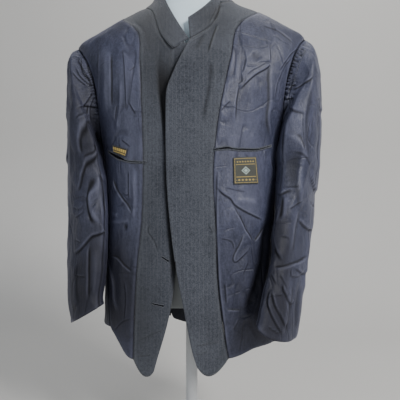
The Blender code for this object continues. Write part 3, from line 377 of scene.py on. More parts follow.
# Levels between which they do so: from, over what height it begins, to, over what height it ends
STAND_OFF_LEVELS = (0.20, 0.10, 0.83, 0.06)
ROLL_BACK_LEVELS = (0.30, 0.10, 0.84, 0.05)
PAINTED_SHADE_TOP = (0.80, 0.08)
NOTCH_FILL = np.array((
    # x, how far the lower front's top reaches up behind the collar
    (-0.044, 0.000),
    (-0.032, 0.008),
    (-0.022, 0.019),
    (-0.012, 0.024),
    (0.010, 0.024),
))
NOTCH_FROM = 0.745
NOTCH_OVER = 0.040
NOTCH_BACK = 0.0035
ROLL_LINE = np.array((
    # z, x
    (0.360, -0.040),
    (0.400, -0.040),
    (0.470, -0.046),
    (0.550, -0.051),
    (0.604, -0.051),
    (0.641, -0.054),
    (0.675, -0.059),
    (0.714, -0.065),
    (0.774, -0.069),
    (0.800, -0.066),
))

# The vent's corner that shows below the form: its place, how it moves, over what reach
VENT_CORNER = (-0.038, 0.258)
VENT_DROP = (-0.011, -0.0015, -0.015)
VENT_REACH = 0.040
# Painted shade over the inner faces of the lining
INSIDE_PAINTED_SHADE = 0.90

# How far a sleeve swells towards the body, by level, and how close to it
LEFT_FULLNESS = (
    # level, swell
    (0.310, 0.000),
    (0.370, 0.008),
    (0.450, 0.014),
    (0.560, 0.017),
    (0.620, 0.012),
    (0.665, 0.006),
    (0.700, 0.000),
)
RIGHT_FULLNESS = (
    (0.420, 0.000),
    (0.470, 0.007),
    (0.540, 0.017),
    (0.600, 0.022),
    (0.660, 0.021),
    (0.710, 0.013),
    (0.760, 0.000),
)
SWELL_SEARCH = 0.04
SWELL_FACING_FROM = 0.05
SWELL_FACING_OVER = 0.75
CLEARANCE = 0.0004
SLEEVE_CLEARANCE = 0.0016

# Painted light (+) and painted shade (-): zones of the cloth that look lighter or darker from the
# front
PAINTED_LIGHT_ZONES = (
    # x, z, half width, half height, amount
    (-0.116, 0.770, 0.018, 0.090, 1.40),
    (-0.112, 0.520, 0.012, 0.070, 0.55),
    (-0.170, 0.620, 0.030, 0.140, -0.20),
    (-0.150, 0.340, 0.045, 0.110, -1.05),
    (-0.150, 0.865, 0.060, 0.030, -0.35),
    (0.115, 0.770, 0.040, 0.060, 0.45),
    (0.090, 0.630, 0.045, 0.060, 0.60),
    (0.112, 0.500, 0.035, 0.045, 0.95),
    (0.110, 0.350, 0.055, 0.120, -0.50),
    (0.168, 0.450, 0.022, 0.100, -0.90),
    (0.170, 0.865, 0.060, 0.030, -0.40),
    (-0.203, 0.620, 0.012, 0.110, -0.60),
    (-0.190, 0.430, 0.012, 0.060, -0.40),
    (0.192, 0.650, 0.012, 0.070, -0.70),
    (0.235, 0.600, 0.014, 0.120, -0.25),
    (-0.240, 0.560, 0.012, 0.180, -0.30),
    (-0.075, 0.500, 0.030, 0.160, -0.25),
    (0.020, 0.640, 0.050, 0.120, 0.15),
    (-0.080, 0.850, 0.050, 0.070, -1.15),
    (-0.080, 0.738, 0.030, 0.050, -0.45),
    (0.027, 0.780, 0.040, 0.060, -0.40),
    (-0.152, 0.510, 0.030, 0.060, 0.70),
    (0.045, 0.880, 0.050, 0.055, -0.85),
    (-0.095, 0.610, 0.030, 0.060, 0.50),
    (-0.080, 0.250, 0.040, 0.080, -0.45),
    (-0.215, 0.330, 0.040, 0.070, -1.15),
    (-0.225, 0.700, 0.030, 0.100, -0.35),
    (-0.140, 0.430, 0.040, 0.120, -0.25),
    (0.150, 0.310, 0.020, 0.080, -0.70),
    (0.225, 0.640, 0.030, 0.160, 0.25),
    (0.180, 0.290, 0.030, 0.050, -0.30),
    (0.110, 0.560, 0.040, 0.040, 0.35),
    (-0.058, 0.745, 0.010, 0.050, -0.80),
    (-0.225, 0.560, 0.035, 0.280, -0.30),
    (0.205, 0.400, 0.050, 0.130, -0.22),
    (-0.110, 0.300, 0.060, 0.080, -0.30),
    (0.120, 0.260, 0.060, 0.060, -0.35),
)

# How far forward cloth lies that these zones reach, and over what depth they end
PAINTED_LIGHT_BEFORE = 0.03
PAINTED_LIGHT_OVER = 0.05

# Pockets: the mouth's course from the front, how far it gapes, and its welts
POCKETS = {
    # piece: (course of the mouth, how far it gapes along that course)
    "pocket_welt_left": (
        ((-0.1650, 0.6068), (-0.1490, 0.5973), (-0.1349, 0.5904), (-0.1202, 0.5842),
         (-0.1036, 0.5822), (-0.0820, 0.5812)),
        ((0.00, 0.0008), (0.12, 0.0046), (0.30, 0.0064), (0.46, 0.0030), (0.56, 0.0009),
         (1.00, 0.0007))),
    "pocket_welt_right": (
        ((0.0430, 0.6040), (0.0680, 0.6082), (0.0820, 0.6064), (0.1050, 0.6060), (0.1290, 0.6075),
         (0.1600, 0.6178)),
        ((0.00, 0.0010), (0.18, 0.0032), (0.40, 0.0014), (0.70, 0.0024), (0.88, 0.0012),
         (1.00, 0.0006))),
}
WELT_WIDTH = 0.0026
WELT_HEIGHT = 0.0011
WELT_LIFT = 0.0005
WELT_THICKNESS = 0.0009
WELT_STEPS = 90
WELT_ROWS = 7
MOUTH_LIFT = 0.0002
MOUTH_THICKNESS = 0.0004
END_SHARE = 0.03

# Labels: corners from the front, bottom left first and then anticlockwise
LABELS = {
    "label_left": ((-0.1516, 0.6040), (-0.1240, 0.5925), (-0.1202, 0.6073), (-0.1528, 0.6185)),
    "label_right": ((0.0812, 0.5395), (0.1304, 0.5420), (0.1256, 0.5935), (0.0804, 0.5900)),
}
LABEL_GRID = 36
LABEL_LIFT = 0.0017
LABEL_THICKNESS = 0.0007
LABEL_EDGE_SINK = 0.0005
LABEL_STITCHES = {"label_left": 26, "label_right": 34}
LABEL_STITCH = 0.0016
LABEL_STITCH_INSET = 0.045

# Buttonholes on the front below, from the front: two ends of each
BUTTONHOLES = (
    ((-0.0540, 0.4030), (-0.0410, 0.3950)),
    ((-0.0720, 0.3140), (-0.0505, 0.3100)),
)
HOLE_HALF_HEIGHT = 0.0016
HOLE_SLIT = 1.6
HOLE_EYE = 0.9
HOLE_EYE_AT = 0.94
HOLE_EYE_WIDTH = 0.07
HOLE_STITCHES = 30
HOLE_STITCH = 0.0007 * 2.2
SLIT_LIFT = 0.0003
SLIT_THICKNESS = 0.0003

# Stitches: which cloth they lie on, their course, how many, how long, how slanted
STITCHES = {
    "collar_stitches_left": ("front", ((-0.0600, 0.8260), (-0.0450, 0.8120), (-0.0300, 0.7960)),
                             16, 0.0022, 0.0, "facing_wool"),
    "collar_stitches_right": ("front", ((0.0000, 0.8120), (0.0280, 0.8320), (0.0520, 0.8660)),
                              26, 0.0018, 0.0, "facing_wool"),
    "armhole_stitches_right": ("all", ((0.2360, 0.8200), (0.2180, 0.7830), (0.2030, 0.7380)),
                               26, 0.0052, 1.05, "lining_satin"),
    "armhole_stitches_left": ("all", ((-0.2300, 0.8020), (-0.2120, 0.7600), (-0.2020, 0.7100)),
                              24, 0.0036, 1.05, "lining_satin"),
}
STITCH_WIDTH = 0.00055
STITCH_HEIGHT = 0.0004
STITCH_ROUNDING = 0.28
STITCH_LIFT = 0.0003
ARMHOLE_STITCH_LIFT = 0.0009
HOLE_STITCH_LIFT = 0.0004

# Stand: roundings, and the collars of the pole as (share of its radius, height, rounding)
BASE_ROUNDING = 0.0022
POLE_ROUNDING = 0.0004
POLE_FOOT = (2.3, 0.009, 0.0030)
POLE_HEAD = (2.1, 0.007, 0.0020)
STAND_SIDES = 96

# Buttons: thickness, the facing that counts as their face, and their four holes
BUTTON_THICKNESS = 0.0035
BUTTON_SIDES = 48
BUTTON_FACE = 0.85
BUTTON_ROUNDING = 0.0003
BUTTON_HOLE = 0.0009
BUTTON_HOLE_AT = 0.0024

# Studio: the floor's reach, its level, the height of the backdrop and the curve between
FLOOR_WIDTH = 40.0
FLOOR_FRONT = -6.0
FLOOR_BACK = 1.6
FLOOR_LEVEL = -0.0004
BACKDROP_HEIGHT = 5.0
BACKDROP_CURVE = 0.9
LIGHTS = {
    # light: (place, size, power, colour)
    "key": ((2.1, -2.3, 2.4), 1.1, 118.0, (1.0, 0.985, 0.96)),
    "fill": ((-2.4, -2.2, 1.2), 2.2, 18.0, (0.92, 0.96, 1.0)),
    "top": ((0.3, 0.6, 2.9), 1.8, 22.0, (1.0, 1.0, 1.0)),
}
LIGHTS_AIM = Vector((0, 0, 0.55))
AIR_COLOUR = (0.80, 0.86, 0.95, 1.0)
AIR_STRENGTH = 0.28


def select_only(obj):
    bpy.ops.object.select_all(action="DESELECT")
    obj.select_set(True)
    bpy.context.view_layer.objects.active = obj


def in_edit_mode(obj, *steps):
    """Run edit-mode steps on all of one object's mesh."""
    select_only(obj)
    bpy.ops.object.mode_set(mode="EDIT")
    bpy.ops.mesh.select_all(action="SELECT")
    for step in steps:
        step()
    bpy.ops.object.mode_set(mode="OBJECT")


def pick_faces(obj, wanted):
    """Enter edit mode with the faces selected that a test wants."""
    select_only(obj)
    bpy.ops.object.mode_set(mode="EDIT")
    bpy.ops.mesh.select_mode(type="FACE")
    bpy.ops.mesh.select_all(action="DESELECT")
    bpy.ops.object.mode_set(mode="OBJECT")
    for face in obj.data.polygons:
        face.select = wanted(face)
    bpy.ops.object.mode_set(mode="EDIT")


def in_scene(name, data):
    made = bpy.data.objects.new(name, data)
    bpy.context.scene.collection.objects.link(made)
    return made


def new_shape(name, add, location=(0, 0, 0), **settings):
    """One of Blender's own shapes under a name."""
    bpy.ops.object.select_all(action="DESELECT")
    add(location=location, **settings)
    made = bpy.context.active_object
    made.name = name
    made.data.name = name
    return made


def applied(obj, kind, **settings):
    """Add a modifier with these settings and apply it."""
    select_only(obj)
    modifier = obj.modifiers.new(kind.title(), kind)
    for name, value in settings.items():
        setattr(modifier, name, value)
    bpy.ops.object.modifier_apply(modifier=modifier.name)


def points_of(obj):
    found = np.empty(len(obj.data.vertices) * 3)
    obj.data.vertices.foreach_get("co", found)
    return found.reshape(-1, 3)


def normals_of(obj):
    found = np.empty(len(obj.data.vertices) * 3)
    obj.data.vertex_normals.foreach_get("vector", found)
    return found.reshape(-1, 3)


def move_points(obj, points):
    obj.data.vertices.foreach_set("co", np.ascontiguousarray(points, np.float32).ravel())
    obj.data.update()


def keep_numbers(obj, name, values):
    attribute = obj.data.attributes.get(name) or obj.data.attributes.new(name, "FLOAT", "POINT")
    attribute.data.foreach_set("value", np.ascontiguousarray(values, np.float32))


def eased(t):
    t = np.clip(t, 0.0, 1.0)
    return t * t * (3 - 2 * t)


def border_points(obj):
    """Numbers of the vertices on a skin's open border."""
    used = np.zeros(len(obj.data.edges), int)
    loops = np.empty(len(obj.data.loops), int)
    obj.data.loops.foreach_get("edge_index", loops)
    np.add.at(used, loops, 1)
    ends = np.empty(len(obj.data.edges) * 2, int)
    obj.data.edges.foreach_get("vertices", ends)
    return np.unique(ends.reshape(-1, 2)[used == 1])


def tree_of(*objects):
    points = []
    faces = []
    for obj in objects:
        start = len(points)
        points.extend(v.co.copy() for v in obj.data.vertices)
        faces.extend(tuple(start + v for v in face.vertices) for face in obj.data.polygons)
    return BVHTree.FromPolygons(points, faces)


def nearest_of(points):
    """A tree that finds the nearest of these points."""
    tree = KDTree(len(points))
    for i, point in enumerate(points):
        tree.insert(point, i)
    tree.balance()
    return tree


def skin_from_node(name):
    """The outer skin of a cloth node: a merged copy that loses its inner face and its rim."""
    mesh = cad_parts[name].data.copy()
    mesh.materials.clear()
    skin = in_scene(name + "_cloth", mesh)
    in_edit_mode(skin, lambda: bpy.ops.mesh.remove_doubles(threshold=WELD))
    bpy.ops.mesh.customdata_custom_splitnormals_clear()
    outer = set(outer_side(skin.data, middle_of(name)))
    pick_faces(skin, lambda face: face.index not in outer)
    bpy.ops.mesh.delete(type="FACE")
    bpy.ops.mesh.select_all(action="SELECT")
    bpy.ops.mesh.tris_convert_to_quads(face_threshold=math.pi, shape_threshold=math.pi)
    bpy.ops.object.mode_set(mode="OBJECT")
    applied(skin, "SUBSURF", levels=SMOOTH_LEVELS, render_levels=SMOOTH_LEVELS,
            boundary_smooth="PRESERVE_CORNERS")
    skin.data.shade_smooth()
    return skin


def outer_side(mesh, middle):
    """Numbers of the faces that make up a cloth node's outer side."""
    beside = {}
    for face in mesh.polygons:
        for edge in face.edge_keys:
            beside.setdefault(edge, []).append(face.index)
    patch_of = {}
    patches = []
    for face in mesh.polygons:
        if face.index in patch_of:
            continue
        patch = [face.index]
        patch_of[face.index] = len(patches)
        for number in patch:
            normal = mesh.polygons[number].normal
            for edge in mesh.polygons[number].edge_keys:
                for other in beside[edge]:
                    if other not in patch_of and normal.angle(
                            mesh.polygons[other].normal, math.pi) < EDGE_TURN:
                        patch_of[other] = len(patches)
                        patch.append(other)
        patches.append(patch)

    def outwardness(patch):
        total = 0.0
        for number in patch:
            face = mesh.polygons[number]
            away = face.center - middle(face.center.z)
            total += face.area * face.normal.dot(away.normalized())
        return total

    return max(patches, key=outwardness)


def middle_of(name):
    """The middle of the tube that a cloth node is part of, at a level."""
    if name in BODY:
        return lambda level: Vector((0, 0, level))
    tube = LEFT_SLEEVE if name in LEFT_SLEEVE else RIGHT_SLEEVE
    points = np.vstack([points_of(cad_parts[part]) for part in tube])

    def middle(level):
        near = points[abs(points[:, 2] - level) < 0.03]
        x, y = (near.min(axis=0) + near.max(axis=0))[:2] / 2
        return Vector((x, y, level))

    return middle


def smooth_course(spots, parts=8):
    """A Catmull-Rom curve through the spots of a crease."""
    p = np.array(spots, float)
    p = np.vstack((2 * p[0] - p[1], p, 2 * p[-1] - p[-2]))
    out = []
    for i in range(1, len(p) - 2):
        t = np.linspace(0, 1, parts, endpoint=False)[:, None]
        out.append(0.5 * (2 * p[i] + (p[i + 1] - p[i - 1]) * t
                          + (2 * p[i - 1] - 5 * p[i] + 4 * p[i + 1] - p[i + 2]) * t**2
                          + (3 * p[i] - p[i - 1] - 3 * p[i + 1] + p[i + 2]) * t**3))
    out.append(p[-2][None, :])
    return np.vstack(out)


def on_cloth(tree, view, across, up):
    """Where the cloth shows at a spot of a view, and its normal; nothing past its edge."""
    towards, right = VIEWS[view]
    for aside in BETWEEN_PANELS:
        start = right * (across + aside) + Vector((0, 0, up)) - towards * FAR
        hit, normal, _, _ = tree.ray_cast(start, towards)
        if hit is not None:
            return hit - right * aside, normal if normal.dot(towards) < 0 else -normal
    return None, None


class Relief:
    """The heights, hollows and ridges that creases give to one skin, with the painted shade in
    their hollows and the painted highlight on their lips.
    """

    def __init__(self, skin):
        self.skin = skin
        self.points = points_of(skin)
        self.height = np.zeros(len(self.points))
        self.painted_shade = np.zeros(len(self.points))
        self.painted_highlight = np.zeros(len(self.points))
        self.tone = np.zeros(len(self.points))
        self.room = np.full(len(self.points), PROUDEST)
        self.shift = np.zeros(self.points.shape)

    def crease(self, path, right, raised, depth, width):
        """Press a crease along a path, with one side standing up as a lip; painted shade darkens
        the fold and painted highlight lightens the lip.
        """
        reach = FOLD_REACH * width
        near = np.all((self.points > path.min(axis=0) - reach)
                      & (self.points < path.max(axis=0) + reach), axis=1)
        if not near.any():
            return
        points = self.points[near]
        nearest = np.full(len(points), np.inf)
        along = np.zeros(len(points))
        side = np.zeros(len(points))
        wish = {"u": (0, 1), "d": (0, -1), "r": (1, 0), "l": (-1, 0), "n": (0, 0)}[raised]
        agree = 0.0
        for i in range(len(path) - 1):
            run = path[i + 1] - path[i]
            length = float(run @ run)
            if length < 1e-12:
                continue
            t = np.clip(((points - path[i]) @ run) / length, 0, 1)
            off = points - path[i] - t[:, None] * run
            away = np.linalg.norm(off, axis=1)
            closer = away < nearest
            flat_run = np.array((run @ right, run[2]))
            left = np.array((-flat_run[1], flat_run[0]))
            agree += float(left @ np.array(wish))
            turned = (off @ right) * left[0] + off[:, 2] * left[1]
            nearest = np.where(closer, away, nearest)
            along = np.where(closer, (i + t) / (len(path) - 1), along)
            side = np.where(closer, turned, side)
        across = nearest * np.sign(side) * (1.0 if agree >= 0 else -1.0) / width
        fade = eased(along / FADE_SHARE) * eased((1 - along) / FADE_SHARE)
        strength = min(abs(depth) / PAINTED_SHADE_FULL_DEPTH, STRENGTH_LIMIT)
        tight = min(SOFT_WIDTH / width, 1.0)
        if raised == "n":
            valley = np.exp(-across**2) * fade
            self.height[near] -= depth * valley
            part = self.painted_shade if depth > 0 else self.painted_highlight
            part[near] += valley * strength * tight
            return
        up = 0.5 + 0.5 * np.tanh(across / STEP_SHARPNESS)
        lip = LIP_HEIGHT * np.exp(-np.maximum(across, 0) / LIP_RUN)
        trough = TROUGH_DEPTH * np.exp(-np.maximum(-across, 0) / TROUGH_RUN)
        self.height[near] += depth * fade * (up * lip - (1 - up) * trough)
        for part, at in ((self.painted_shade, PAINTED_SHADE_AT), (self.painted_highlight, PAINTED_HIGHLIGHT_AT)):
            part[near] += fade * strength * tight * np.exp(-((across - at) / LINE_WIDTH) ** 2)

    def crumple(self, coarse_height, coarse_spacing, fine_height, fine_spacing):
        """Wandering folds all over the skin, coarse ones with fine ones on them."""
        for i, point in enumerate(self.points):
            spot = Vector((point[0], point[1], point[2] * 0.6))
            coarse = 0.55 - 2.2 * abs(noise.noise(spot / coarse_spacing + CRUMPLE_SEED))
            bent = spot + noise.noise_vector(spot / coarse_spacing) * (fine_spacing * 0.5)
            fine = 1.0 - 2.0 * abs(noise.noise(bent / fine_spacing - CRUMPLE_SEED))
            self.height[i] += coarse_height * coarse + fine_height * (fine - 0.5)

    def finish(self):
        """Move the skin's points along their normals."""
        height = np.minimum(np.clip(self.height, DEEPEST, PROUDEST), self.room)
        moved = self.points + normals_of(self.skin) * height[:, None]
        move_points(self.skin, moved + self.shift)
        # Painted shade, painted highlight and the zones of painted light and shade, kept for the
        # materials' colour
        keep_numbers(self.skin, "painted_shade", np.clip(self.painted_shade, 0, 1))
        keep_numbers(self.skin, "painted_highlight", np.clip(self.painted_highlight, 0, 1))
        keep_numbers(self.skin, "tone", np.clip(self.tone, -1, 1))


def crease_paths(skins):
    """Every crease as a course on the cloth, with the pieces that it may cross."""
    paths = []
    for view, names, rows in CREASES:
        tree = tree_of(*(skins[name] for name in names))
        right = np.array(VIEWS[view][1])
        sign = right[0] + right[1]
        for raised, depth, width, *spots in rows:
            path = []
            for across, up in smooth_course(spots):
                hit, _ = on_cloth(tree, view, across * sign, up)
                if hit is not None:
                    path.append(tuple(hit))
            if len(path) > 2:
                paths.append((names, np.array(path), right, raised, depth, width))
    return paths


def armhole_of(skins, name):
    """The points of a sleeve piece's edge that are sewn into the body."""
    side = name.split("_")[-1]
    body = np.vstack([points_of(skins[part % side])
                      for part in ("front_lining_%s", "back_lining_%s", "side_lining_%s")])
    near = nearest_of(body)
    edge = points_of(skins[name])[border_points(skins[name])]
    return [point for point in edge
            if point[2] > ARMHOLE_FOOT and near.find(point)[2] < ARMHOLE_REACH]


def divide_beside(skin, paths, armhole):
    """Halve the faces along the creases of a skin, so that they can be pressed sharply."""
    spots = [point - np.array((0, 0, drop)) for point in armhole for drop in ARMHOLE_ROWS]
    for path in paths:
        for start, end in zip(path, path[1:]):
            count = max(1, int(np.linalg.norm(end - start) / PATH_STEP))
            spots.extend(start + (end - start) * i / count for i in range(count))
    if not spots:
        return
    near = nearest_of(spots)
    pick_faces(skin, lambda face: near.find(face.center)[2] < FINE_REACH)
    bpy.ops.mesh.subdivide(number_cuts=1, quadcorner="INNERVERT")
    bpy.ops.object.mode_set(mode="OBJECT")
    skin.data.shade_smooth()


def work_edges(skins, reliefs):
    """Turn the panels in at their seams, and give free edges the bead of a turned hem, with
    painted shade along the seams and painted highlight on the seam lips and the beads.
    """
    borders = {name: border_points(skin) for name, skin in skins.items()}
    for name, relief in reliefs.items():
        neighbours = nearest_of(np.vstack(
            [reliefs[n].points[borders[n]] for n in borders if n != name]))
        seam = []
        free = []
        for i in borders[name]:
            point = relief.points[i]
            beside, _, gap = neighbours.find(point)
            (seam if gap < SEAM_REACH else free).append(point)
            if gap < SEAM_REACH:
                relief.shift[i] = (np.array(beside) - point) * SEAM_CLOSING
        if seam:
            near = nearest_of(seam)
            away = np.array([near.find(point)[2] for point in relief.points])
            relief.height -= SEAM_DIP * np.exp(-(away / SEAM_WIDTH) ** 2)
            relief.painted_shade += (SEAM_PAINTED_SHADE[CLOTH[name][3]]
                              * np.exp(-(away / SEAM_LINE_WIDTH) ** 2))
            relief.painted_highlight += SEAM_LIP_PAINTED_HIGHLIGHT * np.exp(-((away - SEAM_LIP_AT) / SEAM_WIDTH) ** 2)
        if free:
            near = nearest_of(free)
            away = np.array([near.find(point)[2] for point in relief.points])
            bead = np.exp(-((away - EDGE_BEAD_AT) / EDGE_BEAD_WIDTH) ** 2)
            relief.height += EDGE_BEAD * bead
            relief.painted_highlight += EDGE_BEAD_PAINTED_HIGHLIGHT * bead


def gather_sleeve_heads(skins, reliefs):
    """Small pleats that run from the armhole seam into the sleeve, with painted shade in their
    hollows and painted highlight on their crests.
    """
    for name in LEFT_SLEEVE + RIGHT_SLEEVE:
        relief = reliefs[name]
        side = 1.0 if name.endswith("right") else -1.0
        head = armhole_of(skins, name)
        middle = np.mean(head, axis=0)
        near = nearest_of(head)
        for i, point in enumerate(relief.points):
            seam_point, _, away = near.find(point)
            if away > 4 * GATHER_LENGTH:
                continue
            turn = math.atan2(seam_point[1] - middle[1], seam_point[2] - middle[2])
            run = (turn * ARMHOLE_RADIUS
                   + GATHER_WANDER * math.sin(GATHER_WANDER_TURNS * turn))
            wave = math.cos(2 * math.pi * run / GATHER_SPACING)
            uneven = (1.0 - GATHER_UNEVEN
                      + GATHER_UNEVEN * math.sin(GATHER_UNEVEN_TURNS * turn + side))
            fade = math.exp(-away / (GATHER_LENGTH * (0.6 + 0.4 * uneven)))
            relief.height[i] += GATHER_HEIGHT * wave * uneven * fade
            relief.painted_shade[i] += GATHER_PAINTED_SHADE * max(-wave, 0.0) ** 2 * fade * uneven
            relief.painted_highlight[i] += GATHER_PAINTED_HIGHLIGHT * max(wave, 0.0) ** 2 * fade * uneven


def between(level, low, low_over, high, high_over):
    """1 between two levels, with a soft rise above the lower and a soft fall to the upper."""
    return eased((level - low) / low_over) * eased((high - level) / high_over)


def roll_fronts(reliefs):
    """The top front stands off along its edge, and the lower one rolls back beside it under
    painted shade.
    """
    top = reliefs["facing_right"]
    edge = top.points[border_points(top.skin)]
    near = nearest_of(edge[(edge[:, 2] > STAND_OFF_LEVELS[0])
                           & (edge[:, 0] < FRONT_EDGE_WITHIN)])
    for i, point in enumerate(top.points):
        away = near.find(point)[2]
        fade = between(point[2], *STAND_OFF_LEVELS)
        top.height[i] += FRONT_STAND_OFF * fade * math.exp(-(away / FRONT_STAND_REACH) ** 2)
    under = reliefs["facing_left"]
    x, level = under.points[:, 0], under.points[:, 2]
    rise = (np.interp(x, NOTCH_FILL[:, 0], NOTCH_FILL[:, 1])
            * eased((level - NOTCH_FROM) / NOTCH_OVER))
    under.shift[:, 2] += rise
    under.height -= NOTCH_BACK * np.minimum(rise / NOTCH_OVER, 1.0)
    line = np.interp(level, ROLL_LINE[:, 0], ROLL_LINE[:, 1])
    past = eased((x - line) / ROLL_BACK_OVER)
    fade = between(level, *ROLL_BACK_LEVELS)
    top_level, top_over = PAINTED_SHADE_TOP
    under.height -= ROLL_BACK * past * fade
    under.painted_shade += (ROLL_BACK_PAINTED_SHADE * past * fade
                     * eased((top_level - level) / top_over))


def drop_vent_corner(reliefs):
    """The corner of the vent that shows below the form hangs lower and further over."""
    back = reliefs["back_lining_right"]
    away = np.linalg.norm(back.points[:, [0, 2]] - VENT_CORNER, axis=1)
    back.shift += np.exp(-(away / VENT_REACH) ** 2)[:, None] * VENT_DROP


def fill_sleeves(skins, reliefs):
    """Let the inner side of each sleeve swell towards the body that it hangs against."""
    body = tree_of(*(skins[name] for name in BODY))
    for names, towards, levels in ((LEFT_SLEEVE, 1.0, LEFT_FULLNESS),
                                   (RIGHT_SLEEVE, -1.0, RIGHT_FULLNESS)):
        levels = np.array(levels)
        for name in names:
            relief = reliefs[name]
            normals = normals_of(relief.skin)
            wish = np.interp(relief.points[:, 2], levels[:, 0], levels[:, 1])
            facing = eased((normals[:, 0] * towards - SWELL_FACING_FROM) / SWELL_FACING_OVER)
            for i, point in enumerate(relief.points):
                normal = Vector(normals[i])
                hit, _, _, gap = body.ray_cast(Vector(point), normal, 2 * PROUDEST)
                if hit is not None:
                    relief.room[i] = max(gap * 0.5 - CLEARANCE, -CLEARANCE)
                if wish[i] * facing[i] > 0:
                    hit, _, _, gap = body.ray_cast(Vector(point), Vector((towards, 0, 0)),
                                                   SWELL_SEARCH)
                    room = SWELL_SEARCH if hit is None else max(gap - SLEEVE_CLEARANCE, 0.0)
                    relief.shift[i, 0] += towards * min(wish[i] * facing[i], room)


def shade_cloth(reliefs):
    """Painted light and painted shade: lighter and darker zones of the cloth, seen from the
    front.
    """
    for x, z, half_width, half_height, amount in PAINTED_LIGHT_ZONES:
        for relief in reliefs.values():
            front = eased((PAINTED_LIGHT_BEFORE - relief.points[:, 1]) / PAINTED_LIGHT_OVER)
            spread = (((relief.points[:, 0] - x) / half_width) ** 2
                      + ((relief.points[:, 2] - z) / half_height) ** 2)
            relief.tone += amount * front * np.exp(-spread)


class Field:
    """A number that changes over a surface, which takes + - * / and comparisons of size."""

    def __init__(self, finish, socket):
        self.finish = finish
        self.socket = socket

    def maths(self, operation, *others):
        return self.finish.add("ShaderNodeMath", {"operation": operation}, self, *others)[0]

    def __add__(self, other):
        return self.maths("ADD", other)

    def __sub__(self, other):
        return self.maths("SUBTRACT", other)

    def __rsub__(self, other):
        return (self * -1.0) + other

    def __mul__(self, other):
        return self.maths("MULTIPLY", other)

    def __truediv__(self, other):
        return self.maths("DIVIDE", other)

    def __abs__(self):
        return self.maths("ABSOLUTE")

    __radd__ = __add__
    __rmul__ = __mul__

    def below(self, other):
        return self.maths("LESS_THAN", other)

    def least(self, other):
        return self.maths("MINIMUM", other)

    def most(self, other):
        return self.maths("MAXIMUM", other)

    def wave(self):
        return self.maths("SINE")

    def part(self):
        return self.maths("FRACT")

    def steps(self, low, high):
        """0 below low, 1 above high, and a soft rise between."""
        add = self.finish.add
        return add("ShaderNodeMapRange", {"interpolation_type": "SMOOTHSTEP"}, self, low, high)[0]


class Finish:
    """One material: its nodes, and the Principled shader they end in."""

    def __init__(self, name, roughness, **constants):
        self.material = bpy.data.materials.new(name)
        self.material.use_nodes = True
        self.tree = self.material.node_tree
        self.shader = self.tree.nodes["Principled BSDF"]
        self.shader.inputs["Roughness"].default_value = roughness
        for socket, value in constants.items():
            self.shader.inputs[socket.replace("_", " ")].default_value = value

    def add(self, kind, settings, *inputs, **named):
        """A node of this kind, with its settings, and values or links for its sockets."""
        node = self.tree.nodes.new(kind)
        for name, value in settings.items():
            setattr(node, name, value)
        for socket, value in list(zip(node.inputs, inputs)) + [
                (node.inputs[name.replace("_", " ")], value) for name, value in named.items()]:
            self.join(value, socket)
        return [Field(self, out) for out in node.outputs]

    def join(self, value, socket):
        if isinstance(value, Field):
            self.tree.links.new(value.socket, socket)
        elif socket.type == "RGBA" and len(value) == 3:
            socket.default_value = (*value, 1.0)
        else:
            socket.default_value = value

    def place(self):
        return self.add("ShaderNodeTexCoord", {})[3]

    def uv(self):
        return self.add("ShaderNodeUVMap", {})[0]

    def split(self, vector):
        return self.add("ShaderNodeSeparateXYZ", {}, vector)

    def stretched(self, vector, x, y, z):
        return self.add("ShaderNodeMapping", {}, vector, Scale=(x, y, z))[0]

    def grain(self, vector, spacing, detail=2.0, roughness=0.5):
        return self.add("ShaderNodeTexNoise", {}, Vector=vector, Scale=1.0 / spacing,
                        Detail=detail, Roughness=roughness)[0]

    def cells(self, vector, spacing):
        return self.add("ShaderNodeTexVoronoi", {}, Vector=vector, Scale=1.0 / spacing)[0]

    def attribute(self, name):
        return self.add("ShaderNodeAttribute", {"attribute_name": name})[2]

    def mixed(self, share, first, second):
        """Two colours mixed by a share."""
        node = self.tree.nodes.new("ShaderNodeMix")
        node.data_type = "RGBA"
        self.join(share, node.inputs[0])
        self.join(first, node.inputs[6])
        self.join(second, node.inputs[7])
        return Field(self, node.outputs[2])

    def end(self, colour=None, roughness=None, height=None, distance=0.0005, strength=1.0):
        """Link the colour, roughness and bump height that change over the surface."""
        if colour is not None:
            self.join(colour, self.shader.inputs["Base Color"])
        if roughness is not None:
            self.join(roughness, self.shader.inputs["Roughness"])
        if height is not None:
            normal = self.add("ShaderNodeBump", {}, Height=height, Distance=distance,
                              Strength=strength)[0]
            self.join(normal, self.shader.inputs["Normal"])
        return self.material


